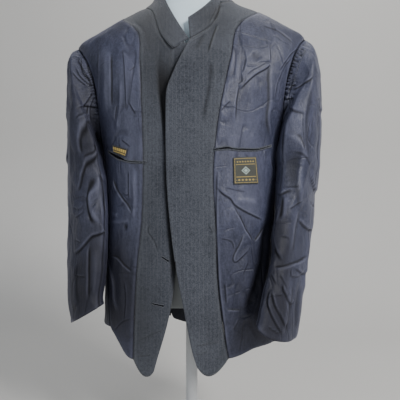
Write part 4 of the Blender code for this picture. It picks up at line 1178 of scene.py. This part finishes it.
def facing_wool():
    """Charcoal worsted: a pebbled weave with faint vertical stripes, with painted light and shade
    in zones, painted shade in its creases and painted highlight on their lips.
    """
    finish = Finish("facing_wool", 0.86, Sheen_Weight=0.25, Sheen_Roughness=0.5,
                    Specular_IOR_Level=0.25)
    place = finish.place()
    x, y, z = finish.split(place)
    warp = (x * (2 * math.pi / 0.00085)).wave()
    weft = (z * (2 * math.pi / 0.00095)).wave()
    thread = warp * weft
    pebble = finish.cells(place, 0.0021)
    flecks = finish.grain(place, 0.0016, 3.0, 0.65)
    cloud = finish.grain(place, 0.055, 2.0)
    course = x + finish.grain(finish.stretched(place, 1, 1, 0.2), 0.05) * 0.0012
    stripe = abs((course / 0.0072).part() - 0.5)
    line = (1.0 - (stripe / 0.13).steps(0.35, 1.0)) * (0.45 + 0.55 * flecks.steps(0.35, 0.65))
    painted_shade = finish.attribute("painted_shade")
    painted_highlight = finish.attribute("painted_highlight")
    speck = finish.grain(place, 0.0044, 2.0, 0.75)
    tone = (0.22 * flecks + 0.18 * pebble + 0.20 * cloud + 0.36 * speck + 0.04 * thread)
    base = finish.mixed(tone.steps(0.28, 0.62), (0.022, 0.026, 0.038), (0.092, 0.101, 0.126))
    striped = finish.mixed(line * 0.26, base, (0.165, 0.175, 0.195))
    # Painted light and painted shade from the zones, painted highlight on crease lips, painted
    # shade in the creases
    painted_zone = finish.attribute("tone")
    pale = finish.mixed(painted_zone.most(0.0) * 0.35, striped, (0.140, 0.148, 0.170))
    shaded = finish.mixed((painted_zone * -1.0).most(0.0) * 0.60, pale, (0.018, 0.020, 0.025))
    lit = finish.mixed(painted_highlight * 0.30, shaded, (0.150, 0.160, 0.180))
    colour = finish.mixed(painted_shade * 0.95, lit, (0.003, 0.003, 0.005))
    height = pebble * 0.6 + flecks * 0.5 + thread * 0.25 + speck * 0.8
    return finish.end(colour, None, height, 0.0008, 0.70)


def crinkle(finish, place, spacing, width, share):
    """Thin wandering lines of fine creases, over a share of the cloth."""
    bent = finish.grain(place, spacing, 1.0, 0.35)
    line = 1.0 - (abs(bent - 0.5) / width).steps(0.0, 1.0)
    where = finish.grain(place, spacing * 1.7, 1.0).steps(0.62 - share, 0.72 - share)
    return line * where


def lining_satin():
    """Navy satin with a lavender bloom, with painted shade in its creases and fine crinkles,
    painted highlight on their lips, and painted light and shade in zones.
    """
    finish = Finish("lining_satin", 0.46, Sheen_Weight=0.12, Sheen_Roughness=0.35,
                    Sheen_Tint=(0.66, 0.68, 1.0, 1.0), Specular_IOR_Level=0.38)
    place = finish.place()
    cloud = finish.grain(finish.stretched(place, 1, 1, 0.55), 0.045, 3.0, 0.55)
    ripple = finish.grain(finish.stretched(place, 1, 1, 0.35), 0.008, 4.0, 0.65)
    thread = finish.grain(finish.stretched(place, 1, 1, 0.10), 0.0012, 2.0, 0.6)
    leaning = finish.add("ShaderNodeMapping", {}, place, Rotation=(0.0, 0.5, 0.0),
                         Scale=(1.0, 1.0, 0.26))[0]
    crossing = finish.add("ShaderNodeMapping", {}, place, Rotation=(0.0, -0.9, 0.3),
                          Scale=(0.28, 1.0, 1.0))[0]
    creases = crinkle(finish, leaning, 0.032, 0.050, 0.13).most(
        crinkle(finish, crossing, 0.036, 0.045, 0.10) * 0.8)
    x, y, z = finish.split(place)
    twill = ((x + y + z * 0.6) * (2 * math.pi / 0.0009)).wave()
    painted_shade = finish.attribute("painted_shade")
    painted_highlight = finish.attribute("painted_highlight")
    speck = finish.grain(place, 0.0042, 2.0, 0.7)
    tone = (0.30 * cloud + 0.26 * ripple + 0.16 * thread + 0.28 * speck).steps(0.36, 0.64)
    base = finish.mixed(tone, (0.027, 0.031, 0.056), (0.078, 0.085, 0.138))
    painted_zone = finish.attribute("tone")
    # Painted light and painted shade from the zones, painted highlight on crease lips, painted
    # shade in the fine crinkles and in the creases
    pale = finish.mixed(painted_zone.most(0.0) * 0.45, base, (0.135, 0.142, 0.210))
    dim = (painted_zone * -1.0).most(0.0).least(1.0)
    shaded = finish.mixed(dim * 0.85, pale, (0.008, 0.008, 0.015))
    lit = finish.mixed(painted_highlight * (0.44 - 0.30 * dim), shaded, (0.185, 0.195, 0.280))
    crinkle_shaded = finish.mixed(creases * 0.32, lit, (0.008, 0.008, 0.016))
    colour = finish.mixed(painted_shade * 0.92, crinkle_shaded, (0.002, 0.002, 0.004))
    roughness = 0.30 + 0.16 * ripple + 0.35 * painted_shade + 0.22 * dim
    height = ripple * 1.0 + thread * 0.30 + twill * 0.03 + speck * 0.35 - creases * 1.1
    return finish.end(colour, roughness, height, 0.0013, 0.80)


def opening_painted_shade():
    """Painted shade for the unlit inside of a pocket mouth and a buttonhole's slit."""
    finish = Finish("opening_painted_shade", 0.9, Specular_IOR_Level=0.1)
    flecks = finish.grain(finish.place(), 0.002, 2.0)
    colour = finish.mixed(flecks, (0.002, 0.002, 0.004), (0.008, 0.008, 0.013))
    return finish.end(colour, None, flecks, 0.0004, 0.5)


def seam_thread():
    """Twisted sewing thread."""
    finish = Finish("seam_thread", 0.6, Sheen_Weight=0.2)
    place = finish.place()
    x, y, z = finish.split(place)
    twist = ((x + z * 1.7 + y) * (2 * math.pi / 0.0007)).wave()
    flecks = finish.grain(place, 0.0007, 2.0)
    colour = finish.mixed(0.5 + 0.35 * twist * flecks,
                          (0.070, 0.076, 0.095), (0.220, 0.230, 0.260))
    return finish.end(colour, None, twist, 0.0002, 0.6)


def form_white():
    """Moulded plastic, cool white, with a faint orange peel, handling marks, and painted shade on
    its lower part under the coat.
    """
    finish = Finish("form_white", 0.42, Coat_Weight=0.08, Coat_Roughness=0.3)
    place = finish.place()
    peel = finish.grain(place, 0.0035, 2.0)
    cloud = finish.grain(place, 0.09, 3.0)
    scuff = finish.grain(finish.stretched(place, 1, 1, 0.15), 0.004, 4.0, 0.7)
    worn = scuff.steps(0.66, 0.80)
    base = finish.mixed(cloud, (0.68, 0.83, 0.93), (0.79, 0.93, 1.00))
    level = finish.split(place)[2]
    # Painted shade: grey-brown below 0.435 m, where the coat shades the form
    low_shade_mask = (0.435 - level).steps(0.0, 0.05)
    painted_shade_below = finish.mixed(low_shade_mask * 0.88, base, (0.090, 0.086, 0.082))
    colour = finish.mixed(worn * 0.25, painted_shade_below, (0.42, 0.45, 0.47))
    return finish.end(colour, 0.36 + 0.14 * cloud + 0.12 * worn, peel, 0.0004, 0.25)


def stand_white():
    """Powder-coated steel."""
    finish = Finish("stand_white", 0.45, Coat_Weight=0.15, Coat_Roughness=0.35)
    place = finish.place()
    peel = finish.cells(place, 0.0016)
    speck = finish.grain(place, 0.0022, 3.0, 0.7)
    cloud = finish.grain(place, 0.06, 2.0)
    base = finish.mixed(cloud, (0.58, 0.59, 0.60), (0.68, 0.69, 0.70))
    colour = finish.mixed(speck.steps(0.68, 0.76) * 0.35, base, (0.30, 0.30, 0.30))
    return finish.end(colour, 0.40 + 0.15 * speck, peel, 0.0003, 0.3)


def button_resin():
    """Dark marbled resin."""
    finish = Finish("button_resin", 0.24, Coat_Weight=0.3, Coat_Roughness=0.12)
    place = finish.place()
    swirl = finish.grain(place, 0.006, 4.0, 0.6)
    band = (swirl * 9.0).wave() * 0.5 + 0.5
    colour = finish.mixed(band.steps(0.2, 0.9), (0.010, 0.011, 0.017), (0.055, 0.055, 0.070))
    return finish.end(colour, 0.20 + 0.12 * swirl, swirl, 0.0002, 0.2)


def rail(value, at, half):
    """1 within half of a place, with soft sides."""
    return 1.0 - (abs(value - at) / half).steps(0.75, 1.1)


def label_weave(name, upright):
    """A woven label on a dark ground: the strip has gold bars and dashes, the upright one gold
    rails and lozenges round a pale lozenge."""
    finish = Finish(name, 0.55, Sheen_Weight=0.3)
    u, v, _ = finish.split(finish.uv())
    place = finish.place()
    flecks = finish.grain(place, 0.0007, 2.0)
    picks = (v * (2 * math.pi * 46)).wave() * 0.5 + 0.5
    ends = (u * (2 * math.pi * 46)).wave() * 0.5 + 0.5
    if upright:
        frame_line = rail(abs(u - 0.5).most(abs(v - 0.5)), 0.450, 0.012)
        beads = rail(abs((u * 9.0).part() - 0.5) + abs((v - 0.83) / 0.09), 0.0, 0.42)
        low_beads = rail(abs((u * 7.0).part() - 0.5) + abs((v - 0.15) / 0.10), 0.0, 0.44)
        inside = abs(u - 0.5).below(0.40)
        bar = rail(v, 0.265, 0.016) * inside
        top_bar = rail(v, 0.730, 0.012) * inside
        gold = frame_line.most(beads.most(low_beads) * inside).most(bar).most(top_bar)
        from_middle = abs(u - 0.5) / 0.20 + abs(v - 0.50) / 0.17
        pale = rail(from_middle, 0.0, 0.95) * (1.0 - rail(from_middle, 0.52, 0.13) * 0.75)
        ground = ((0.034, 0.036, 0.028), (0.064, 0.067, 0.053))
    else:
        bars = rail(v, 0.60, 0.21) * abs((u * 7.0).part() - 0.5).below(0.39)
        dashes = rail(v, 0.22, 0.09) * abs((u * 11.0).part() - 0.5).below(0.36)
        gold = bars.most(dashes) * abs(u - 0.5).below(0.455)
        ground = ((0.004, 0.004, 0.004), (0.012, 0.012, 0.010))
    weave = (picks * ends).steps(0.1, 0.8)
    dark = finish.mixed(flecks * 0.6 + weave * 0.4, *ground)
    threads = finish.mixed(0.35 + 0.65 * picks * flecks, (0.34, 0.23, 0.04), (0.86, 0.62, 0.16))
    colour = finish.mixed(gold * (0.62 if upright else 1.0), dark, threads)
    height = gold * 0.8 + weave * 0.4
    if upright:
        lozenge = finish.mixed(0.4 + 0.6 * picks, (0.20, 0.27, 0.25), (0.48, 0.58, 0.54))
        colour = finish.mixed(pale, colour, lozenge)
        height = height + pale * 0.8
    return finish.end(colour, 0.62 - 0.20 * gold, height, 0.0004, 0.7)


def studio_paper():
    """Grey backdrop paper."""
    finish = Finish("studio_paper", 0.9, Specular_IOR_Level=0.1)
    place = finish.place()
    cloud = finish.grain(place, 0.6, 3.0)
    tooth = finish.grain(place, 0.004, 2.0)
    colour = finish.mixed(cloud, (0.60, 0.59, 0.57), (0.64, 0.63, 0.61))
    return finish.end(colour, None, tooth, 0.0003, 0.2)


def dressed(obj, material, slot, *nodes):
    """Give a piece its material and its body, and hide the CAD nodes that it stands for; the slot
    is not used.
    """
    obj.data.materials.append(material)
    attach(obj, "root")
    if nodes:
        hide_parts(*nodes)


def thickened(skin):
    """Give a skin its wall, inwards, with softly turned edges."""
    applied(skin, "SOLIDIFY", thickness=CLOTH_THICKNESS, offset=-1.0, use_rim=True,
            use_even_offset=False)
    skin.data.shade_smooth()


def cloth_pieces():
    """The skin of every cloth piece, creased and crumpled."""
    skins = {name: skin_from_node(name) for name in CLOTH}
    paths = crease_paths(skins)
    for name, skin in skins.items():
        armhole = armhole_of(skins, name) if name in LEFT_SLEEVE + RIGHT_SLEEVE else ()
        crisp = [path for names, path, _, raised, _, width in paths
                 if name in names and raised != "n" and width < SOFT_WIDTH]
        divide_beside(skin, crisp, armhole)
    reliefs = {name: Relief(skin) for name, skin in skins.items()}
    for names, path, right, raised, depth, width in paths:
        for name in names:
            reliefs[name].crease(path, right, raised, depth, width)
    work_edges(skins, reliefs)
    gather_sleeve_heads(skins, reliefs)
    roll_fronts(reliefs)
    drop_vent_corner(reliefs)
    fill_sleeves(skins, reliefs)
    shade_cloth(reliefs)
    for name, relief in reliefs.items():
        slot = CLOTH[name][3]
        sleeve = name in LEFT_SLEEVE + RIGHT_SLEEVE
        relief.crumple(*(SLEEVE_CRUMPLE if sleeve else CRUMPLE[slot]))
        relief.finish()
    return skins


def finish_cloth(skins, finishes):
    """Give the cloth its walls and its materials."""
    for name, skin in skins.items():
        width, length, area, slot = CLOTH[name]
        painted_shade = np.empty(len(skin.data.vertices))
        skin.data.attributes["painted_shade"].data.foreach_get("value", painted_shade)
        thickened(skin)
        # The lining's inner faces get painted shade
        if slot == "lining_satin":
            inside = len(skin.data.vertices) - len(painted_shade)
            keep_numbers(skin, "painted_shade", np.append(painted_shade, np.full(inside, INSIDE_PAINTED_SHADE)))
        dressed(skin, finishes[slot], slot, name)


def grid_piece(name, steps, rows):
    """A flat grid, ready to be laid on the cloth."""
    return new_shape(name, bpy.ops.mesh.primitive_grid_add, x_subdivisions=steps,
                     y_subdivisions=rows, size=1.0)


def laid(piece, tree, spot_of, lift_of):
    """Lay a grid on the cloth: where each of its points goes, from the front, and how high."""
    flat = points_of(piece)
    placed = flat.copy()
    for i, (a, b, _) in enumerate(flat):
        u, v = a + 0.5, b + 0.5
        x, z = spot_of(u, v)
        hit, normal = on_cloth(tree, "front", x, z)
        placed[i] = hit + normal * lift_of(u, v)
    move_points(piece, placed)
    in_edit_mode(piece, lambda: bpy.ops.mesh.normals_make_consistent(inside=False))
    outward = sum(face.normal.y * face.area for face in piece.data.polygons)
    if outward > 0:
        in_edit_mode(piece, bpy.ops.mesh.flip_normals)


def pocket_pieces(skins, finishes):
    """Jetted pockets: a flat sheet of painted shade as the gaping mouth, between two rounded
    welts.
    """
    for name, (course, gapes) in POCKETS.items():
        side = name.split("_")[-1]
        tree = tree_of(skins["front_lining_" + side], skins["facing_" + side],
                       skins["side_lining_" + side])
        line = smooth_course(course)
        run = np.linspace(0, 1, len(line))
        gapes = np.array(gapes)

        def middle(u):
            return np.array((np.interp(u, run, line[:, 0]), np.interp(u, run, line[:, 1])))

        def opening(u):
            return np.interp(u, gapes[:, 0], gapes[:, 1])

        mouth = grid_piece(name + "_mouth", WELT_STEPS, WELT_ROWS)
        laid(mouth, tree,
             lambda u, v: middle(u) + (0, (v - 0.5) * (opening(u) + WELT_WIDTH)),
             lambda u, v: MOUTH_LIFT)
        applied(mouth, "SOLIDIFY", thickness=MOUTH_THICKNESS, offset=-1.0)
        mouth.data.shade_smooth()
        dressed(mouth, finishes["opening_painted_shade"], "lining_satin")
        for part, way in (("upper", 1.0), ("lower", -1.0)):
            welt = grid_piece("%s_%s" % (name, part), WELT_STEPS, WELT_ROWS)
            laid(welt, tree,
                 lambda u, v: middle(u) + (0, way * (opening(u) + WELT_WIDTH) / 2
                                           + (v - 0.5) * WELT_WIDTH),
                 lambda u, v: WELT_LIFT + WELT_HEIGHT * math.sin(math.pi * v)
                 * eased(np.array(min(u, 1 - u) / END_SHARE)))
            applied(welt, "SOLIDIFY", thickness=WELT_THICKNESS, offset=-1.0)
            welt.data.shade_smooth()
            dressed(welt, finishes["facing_wool"], "facing_wool",
                    *([name] if part == "upper" else []))


def label_pieces(skins, finishes):
    """Woven labels on the pockets, each sewn round its edge."""
    for name, corners in LABELS.items():
        side = name.split("_")[-1]
        tree = tree_of(skins["front_lining_" + side], skins["facing_" + side])
        low_left, low_right, high_right, high_left = (np.array(corner) for corner in corners)
        made = grid_piece(name + "_woven", LABEL_GRID, LABEL_GRID)

        def spot(u, v):
            return ((1 - v) * ((1 - u) * low_left + u * low_right)
                    + v * ((1 - u) * high_left + u * high_right))

        laid(made, tree, spot,
             lambda u, v: LABEL_LIFT + LABEL_THICKNESS
             - LABEL_EDGE_SINK * math.exp(-(min(u, 1 - u, v, 1 - v) / END_SHARE) ** 2))
        applied(made, "SOLIDIFY", thickness=LABEL_THICKNESS, offset=-1.0)
        made.data.shade_smooth()
        dressed(made, finishes[name], "label_weave", name)
        stitches = [spot(u, v) for u, v in around(LABEL_STITCHES[name])]
        sewn(name + "_stitches", tree, stitches, LABEL_STITCH, finishes["seam_thread"],
             "label_weave", LABEL_LIFT + LABEL_THICKNESS)


def around(count):
    """Places round the edge of a unit square, just inside it."""
    inset = LABEL_STITCH_INSET
    spots = []
    for i in range(count):
        t = 4.0 * i / count
        leg, share = int(t), t - int(t)
        a = inset + (1 - 2 * inset) * share
        spots.append(((a, inset), (1 - inset, a), (1 - a, 1 - inset), (inset, 1 - a))[leg])
    return spots


def sewn(name, tree, spots, length, thread, slot, lift, aslant=0.0):
    """Small stitches laid one after another over the cloth, as one piece."""
    stitch = new_shape("stitch", bpy.ops.mesh.primitive_cube_add, size=1.0)
    applied(stitch, "BEVEL", width=STITCH_ROUNDING, segments=2)
    shape = points_of(stitch) * (length, STITCH_WIDTH, STITCH_HEIGHT)
    faces = [tuple(face.vertices) for face in stitch.data.polygons]
    bpy.data.objects.remove(stitch)
    points = []
    solid = []
    spots = [np.array(spot) for spot in spots]
    for i, spot in enumerate(spots):
        after = spots[(i + 1) % len(spots)] - spot
        before = spot - spots[i - 1]
        way = after if np.linalg.norm(after) < 2 * np.linalg.norm(before) + 1e-9 else before
        hit, normal = on_cloth(tree, "front", *spot)
        if hit is None:
            continue
        along = Vector((way[0], 0, way[1])).normalized()
        along = (along - normal * along.dot(normal)).normalized()
        lean = aslant if i % 2 else -aslant
        along = along * math.cos(lean) + normal.cross(along) * math.sin(lean)
        turn = Matrix((along, normal.cross(along), normal)).transposed()
        start = len(points)
        points.extend(hit + turn @ Vector(p) + normal * lift for p in shape)
        solid.extend(tuple(start + v for v in face) for face in faces)
    mesh = bpy.data.meshes.new(name)
    mesh.from_pydata(points, [], solid)
    mesh.shade_smooth()
    made = in_scene(name, mesh)
    in_edit_mode(made, lambda: bpy.ops.mesh.normals_make_consistent(inside=False))
    dressed(made, thread, slot)


def seam_stitches(skins, finishes):
    """Hand stitches that show along the collar seam, the armholes and the right facing."""
    trees = {
        "front": tree_of(*(skins[name] for name in BODY)),
        "all": tree_of(*skins.values()),
    }
    for name, (which, course, count, length, aslant, slot) in STITCHES.items():
        line = smooth_course(course)
        run = np.linspace(0, 1, len(line))
        spots = [(np.interp(t, run, line[:, 0]), np.interp(t, run, line[:, 1]))
                 for t in np.linspace(0, 1, count)]
        lift = ARMHOLE_STITCH_LIFT if name.startswith("armhole") else STITCH_LIFT
        sewn(name, trees[which], spots, length, finishes["seam_thread"], slot, lift, aslant)


def buttonholes(skins, finishes):
    """Worked buttonholes: a slit of painted shade in a ring of close stitches."""
    tree = tree_of(skins["facing_left"])
    for number, (start, end) in enumerate(BUTTONHOLES, 1):
        start = np.array(start)
        run = np.array(end) - start
        across = np.array((-run[1], run[0])) / np.linalg.norm(run)
        slit = grid_piece("buttonhole_%d_slit" % number, 20, 3)
        laid(slit, tree,
             lambda u, v: start + run * u + across * (v - 0.5) * HOLE_SLIT * HOLE_HALF_HEIGHT,
             lambda u, v: SLIT_LIFT)
        applied(slit, "SOLIDIFY", thickness=SLIT_THICKNESS, offset=-1.0)
        dressed(slit, finishes["opening_painted_shade"], "facing_wool")
        spots = []
        for i in range(2 * HOLE_STITCHES):
            t = (i % HOLE_STITCHES) / (HOLE_STITCHES - 1)
            way = 1.0 if i < HOLE_STITCHES else -1.0
            share = t if i < HOLE_STITCHES else 1 - t
            eye = 1.0 + HOLE_EYE * math.exp(-((share - HOLE_EYE_AT) / HOLE_EYE_WIDTH) ** 2)
            spots.append(start + run * share + across * way * HOLE_HALF_HEIGHT * eye)
        sewn("buttonhole_%d_stitches" % number, tree, spots, HOLE_STITCH,
             finishes["seam_thread"], "facing_wool", HOLE_STITCH_LIFT)


def form_and_stand(finishes):
    """The torso form, smoothed, on its pole and base."""
    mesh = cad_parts["form_torso"].data.copy()
    mesh.materials.clear()
    torso = in_scene("form_torso_smooth", mesh)
    in_edit_mode(torso, lambda: bpy.ops.mesh.remove_doubles(threshold=WELD),
                 lambda: bpy.ops.mesh.tris_convert_to_quads(face_threshold=math.radians(50),
                                                            shape_threshold=math.radians(60)))
    bpy.ops.mesh.customdata_custom_splitnormals_clear()
    applied(torso, "SUBSURF", levels=2, render_levels=2)
    torso.data.shade_smooth()
    dressed(torso, finishes["form_white"], "form_white", "form_torso")

    low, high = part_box("form_base")
    base = turned_disc("form_base_disc", (high.x - low.x) / 2, low.z, high.z, BASE_ROUNDING)
    low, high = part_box("form_pole")
    radius = (high.x - low.x) / 2
    pole = turned_disc("form_pole_tube", radius, low.z, high.z, POLE_ROUNDING)
    wider, height, rounding = POLE_FOOT
    foot = turned_disc("form_pole_foot", radius * wider, low.z, low.z + height, rounding)
    wider, height, rounding = POLE_HEAD
    head = turned_disc("form_pole_head", radius * wider, high.z - height, high.z, rounding)
    for piece, nodes in ((base, ["form_base"]), (pole, ["form_pole"]), (foot, []), (head, [])):
        dressed(piece, finishes["stand_white"], "stand_white", *nodes)


def turned_disc(name, radius, low, high, rounding):
    """A turned disc or tube on the form's own line, with rounded edges."""
    piece = new_shape(name, bpy.ops.mesh.primitive_cylinder_add, (0, 0, (low + high) / 2),
                      vertices=STAND_SIDES, radius=radius, depth=high - low)
    bpy.ops.object.transform_apply(location=True, rotation=True, scale=True)
    applied(piece, "BEVEL", width=rounding, segments=4, limit_method="ANGLE")
    bpy.ops.object.shade_smooth_by_angle(angle=math.radians(35))
    return piece


def front_buttons(finishes):
    """Four-hole buttons on the hidden face of the top front."""
    for number in (1, 2):
        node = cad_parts["front_button_%d" % number]
        low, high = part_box(node.name)
        facing = Vector((0, 0, 0))
        for face in node.data.polygons:
            if face.normal.y > BUTTON_FACE:
                facing += face.normal * face.area
        facing.normalize()
        radius = (high.x - low.x) / 2
        button = new_shape("front_button_%d_turned" % number,
                           bpy.ops.mesh.primitive_cylinder_add, vertices=BUTTON_SIDES,
                           radius=radius, depth=BUTTON_THICKNESS)
        dish_button(button, radius)
        for quarter in range(4):
            angle = math.radians(45 + 90 * quarter)
            place = (BUTTON_HOLE_AT * math.cos(angle), BUTTON_HOLE_AT * math.sin(angle), 0)
            drill = new_shape("drill", bpy.ops.mesh.primitive_cylinder_add, place, vertices=16,
                              radius=BUTTON_HOLE, depth=3 * BUTTON_THICKNESS)
            applied(button, "BOOLEAN", operation="DIFFERENCE", object=drill)
            bpy.data.objects.remove(drill)
        applied(button, "BEVEL", width=BUTTON_ROUNDING, segments=2, limit_method="ANGLE")
        turn = Vector((0, 0, 1)).rotation_difference(facing).to_matrix()
        move_points(button, points_of(button) @ np.array(turn).T + np.array((low + high) / 2))
        select_only(button)
        bpy.ops.object.shade_smooth_by_angle(angle=math.radians(35))
        dressed(button, finishes["button_resin"], "button_resin", node.name)


def dish_button(button, radius):
    """Sink the middle of a button's face and leave a raised rim."""
    pick_faces(button, lambda face: face.normal.z > 0.9)
    bpy.ops.mesh.inset(thickness=radius * 0.2)
    bpy.ops.mesh.inset(thickness=radius * 0.06)
    bpy.ops.transform.translate(value=(0, 0, -BUTTON_THICKNESS * 0.28))
    bpy.ops.object.mode_set(mode="OBJECT")


def studio(finishes):
    """A pale floor that curves up into a backdrop, three soft lights and a bluish air."""
    bpy.ops.object.select_all(action="DESELECT")
    bpy.ops.mesh.primitive_plane_add(size=1.0, location=(0, 0, 0))
    floor = bpy.context.active_object
    floor.name = "studio_floor"
    floor.dimensions = (FLOOR_WIDTH, 1.0, 0.0)
    bpy.ops.object.transform_apply(location=True, rotation=True, scale=True)
    select_only(floor)
    bpy.ops.object.mode_set(mode="EDIT")
    bpy.ops.mesh.select_mode(type="EDGE")
    bpy.ops.mesh.select_all(action="DESELECT")
    bpy.ops.object.mode_set(mode="OBJECT")
    for edge in floor.data.edges:
        edge.select = all(floor.data.vertices[v].co.y > 0 for v in edge.vertices)
    for vertex in floor.data.vertices:
        vertex.select = vertex.co.y > 0
        vertex.co.y = FLOOR_BACK if vertex.select else FLOOR_FRONT
        vertex.co.z = FLOOR_LEVEL
    bpy.ops.object.mode_set(mode="EDIT")
    bpy.ops.mesh.extrude_region_move(
        TRANSFORM_OT_translate={"value": (0, 0, BACKDROP_HEIGHT)})
    bpy.ops.object.mode_set(mode="OBJECT")
    applied(floor, "BEVEL", width=BACKDROP_CURVE, segments=16, limit_method="ANGLE")
    floor.data.shade_smooth()
    floor.data.materials.append(finishes["studio_paper"])

    for name, (place, size, power, colour) in LIGHTS.items():
        light = bpy.data.lights.new(name, "AREA")
        light.size = size
        light.energy = power
        light.color = colour
        made = in_scene(name, light)
        made.location = place
        made.rotation_euler = (LIGHTS_AIM - Vector(place)).to_track_quat("-Z", "Y").to_euler()
    world = bpy.data.worlds.new("studio_air")
    world.use_nodes = True
    air = world.node_tree.nodes["Background"]
    air.inputs["Color"].default_value = AIR_COLOUR
    air.inputs["Strength"].default_value = AIR_STRENGTH
    bpy.context.scene.world = world


def photo_camera():
    camera = bpy.data.cameras.new("camera")
    camera.sensor_width = SENSOR
    camera.lens = CAMERA_LENS
    made = in_scene("camera", camera)
    made.location = CAMERA_PLACE
    made.rotation_euler = (math.radians(90), 0, 0)
    bpy.context.scene.camera = made


def main():
    noise.seed_set(NOISE_SEED)
    finishes = {
        "facing_wool": facing_wool(),
        "lining_satin": lining_satin(),
        "opening_painted_shade": opening_painted_shade(),
        "seam_thread": seam_thread(),
        "form_white": form_white(),
        "stand_white": stand_white(),
        "button_resin": button_resin(),
        "label_left": label_weave("label_weave_strip", False),
        "label_right": label_weave("label_weave_square", True),
        "studio_paper": studio_paper(),
    }
    photo_camera()
    form_and_stand(finishes)
    skins = cloth_pieces()
    pocket_pieces(skins, finishes)
    label_pieces(skins, finishes)
    buttonholes(skins, finishes)
    seam_stitches(skins, finishes)
    finish_cloth(skins, finishes)
    front_buttons(finishes)
    studio(finishes)


main()
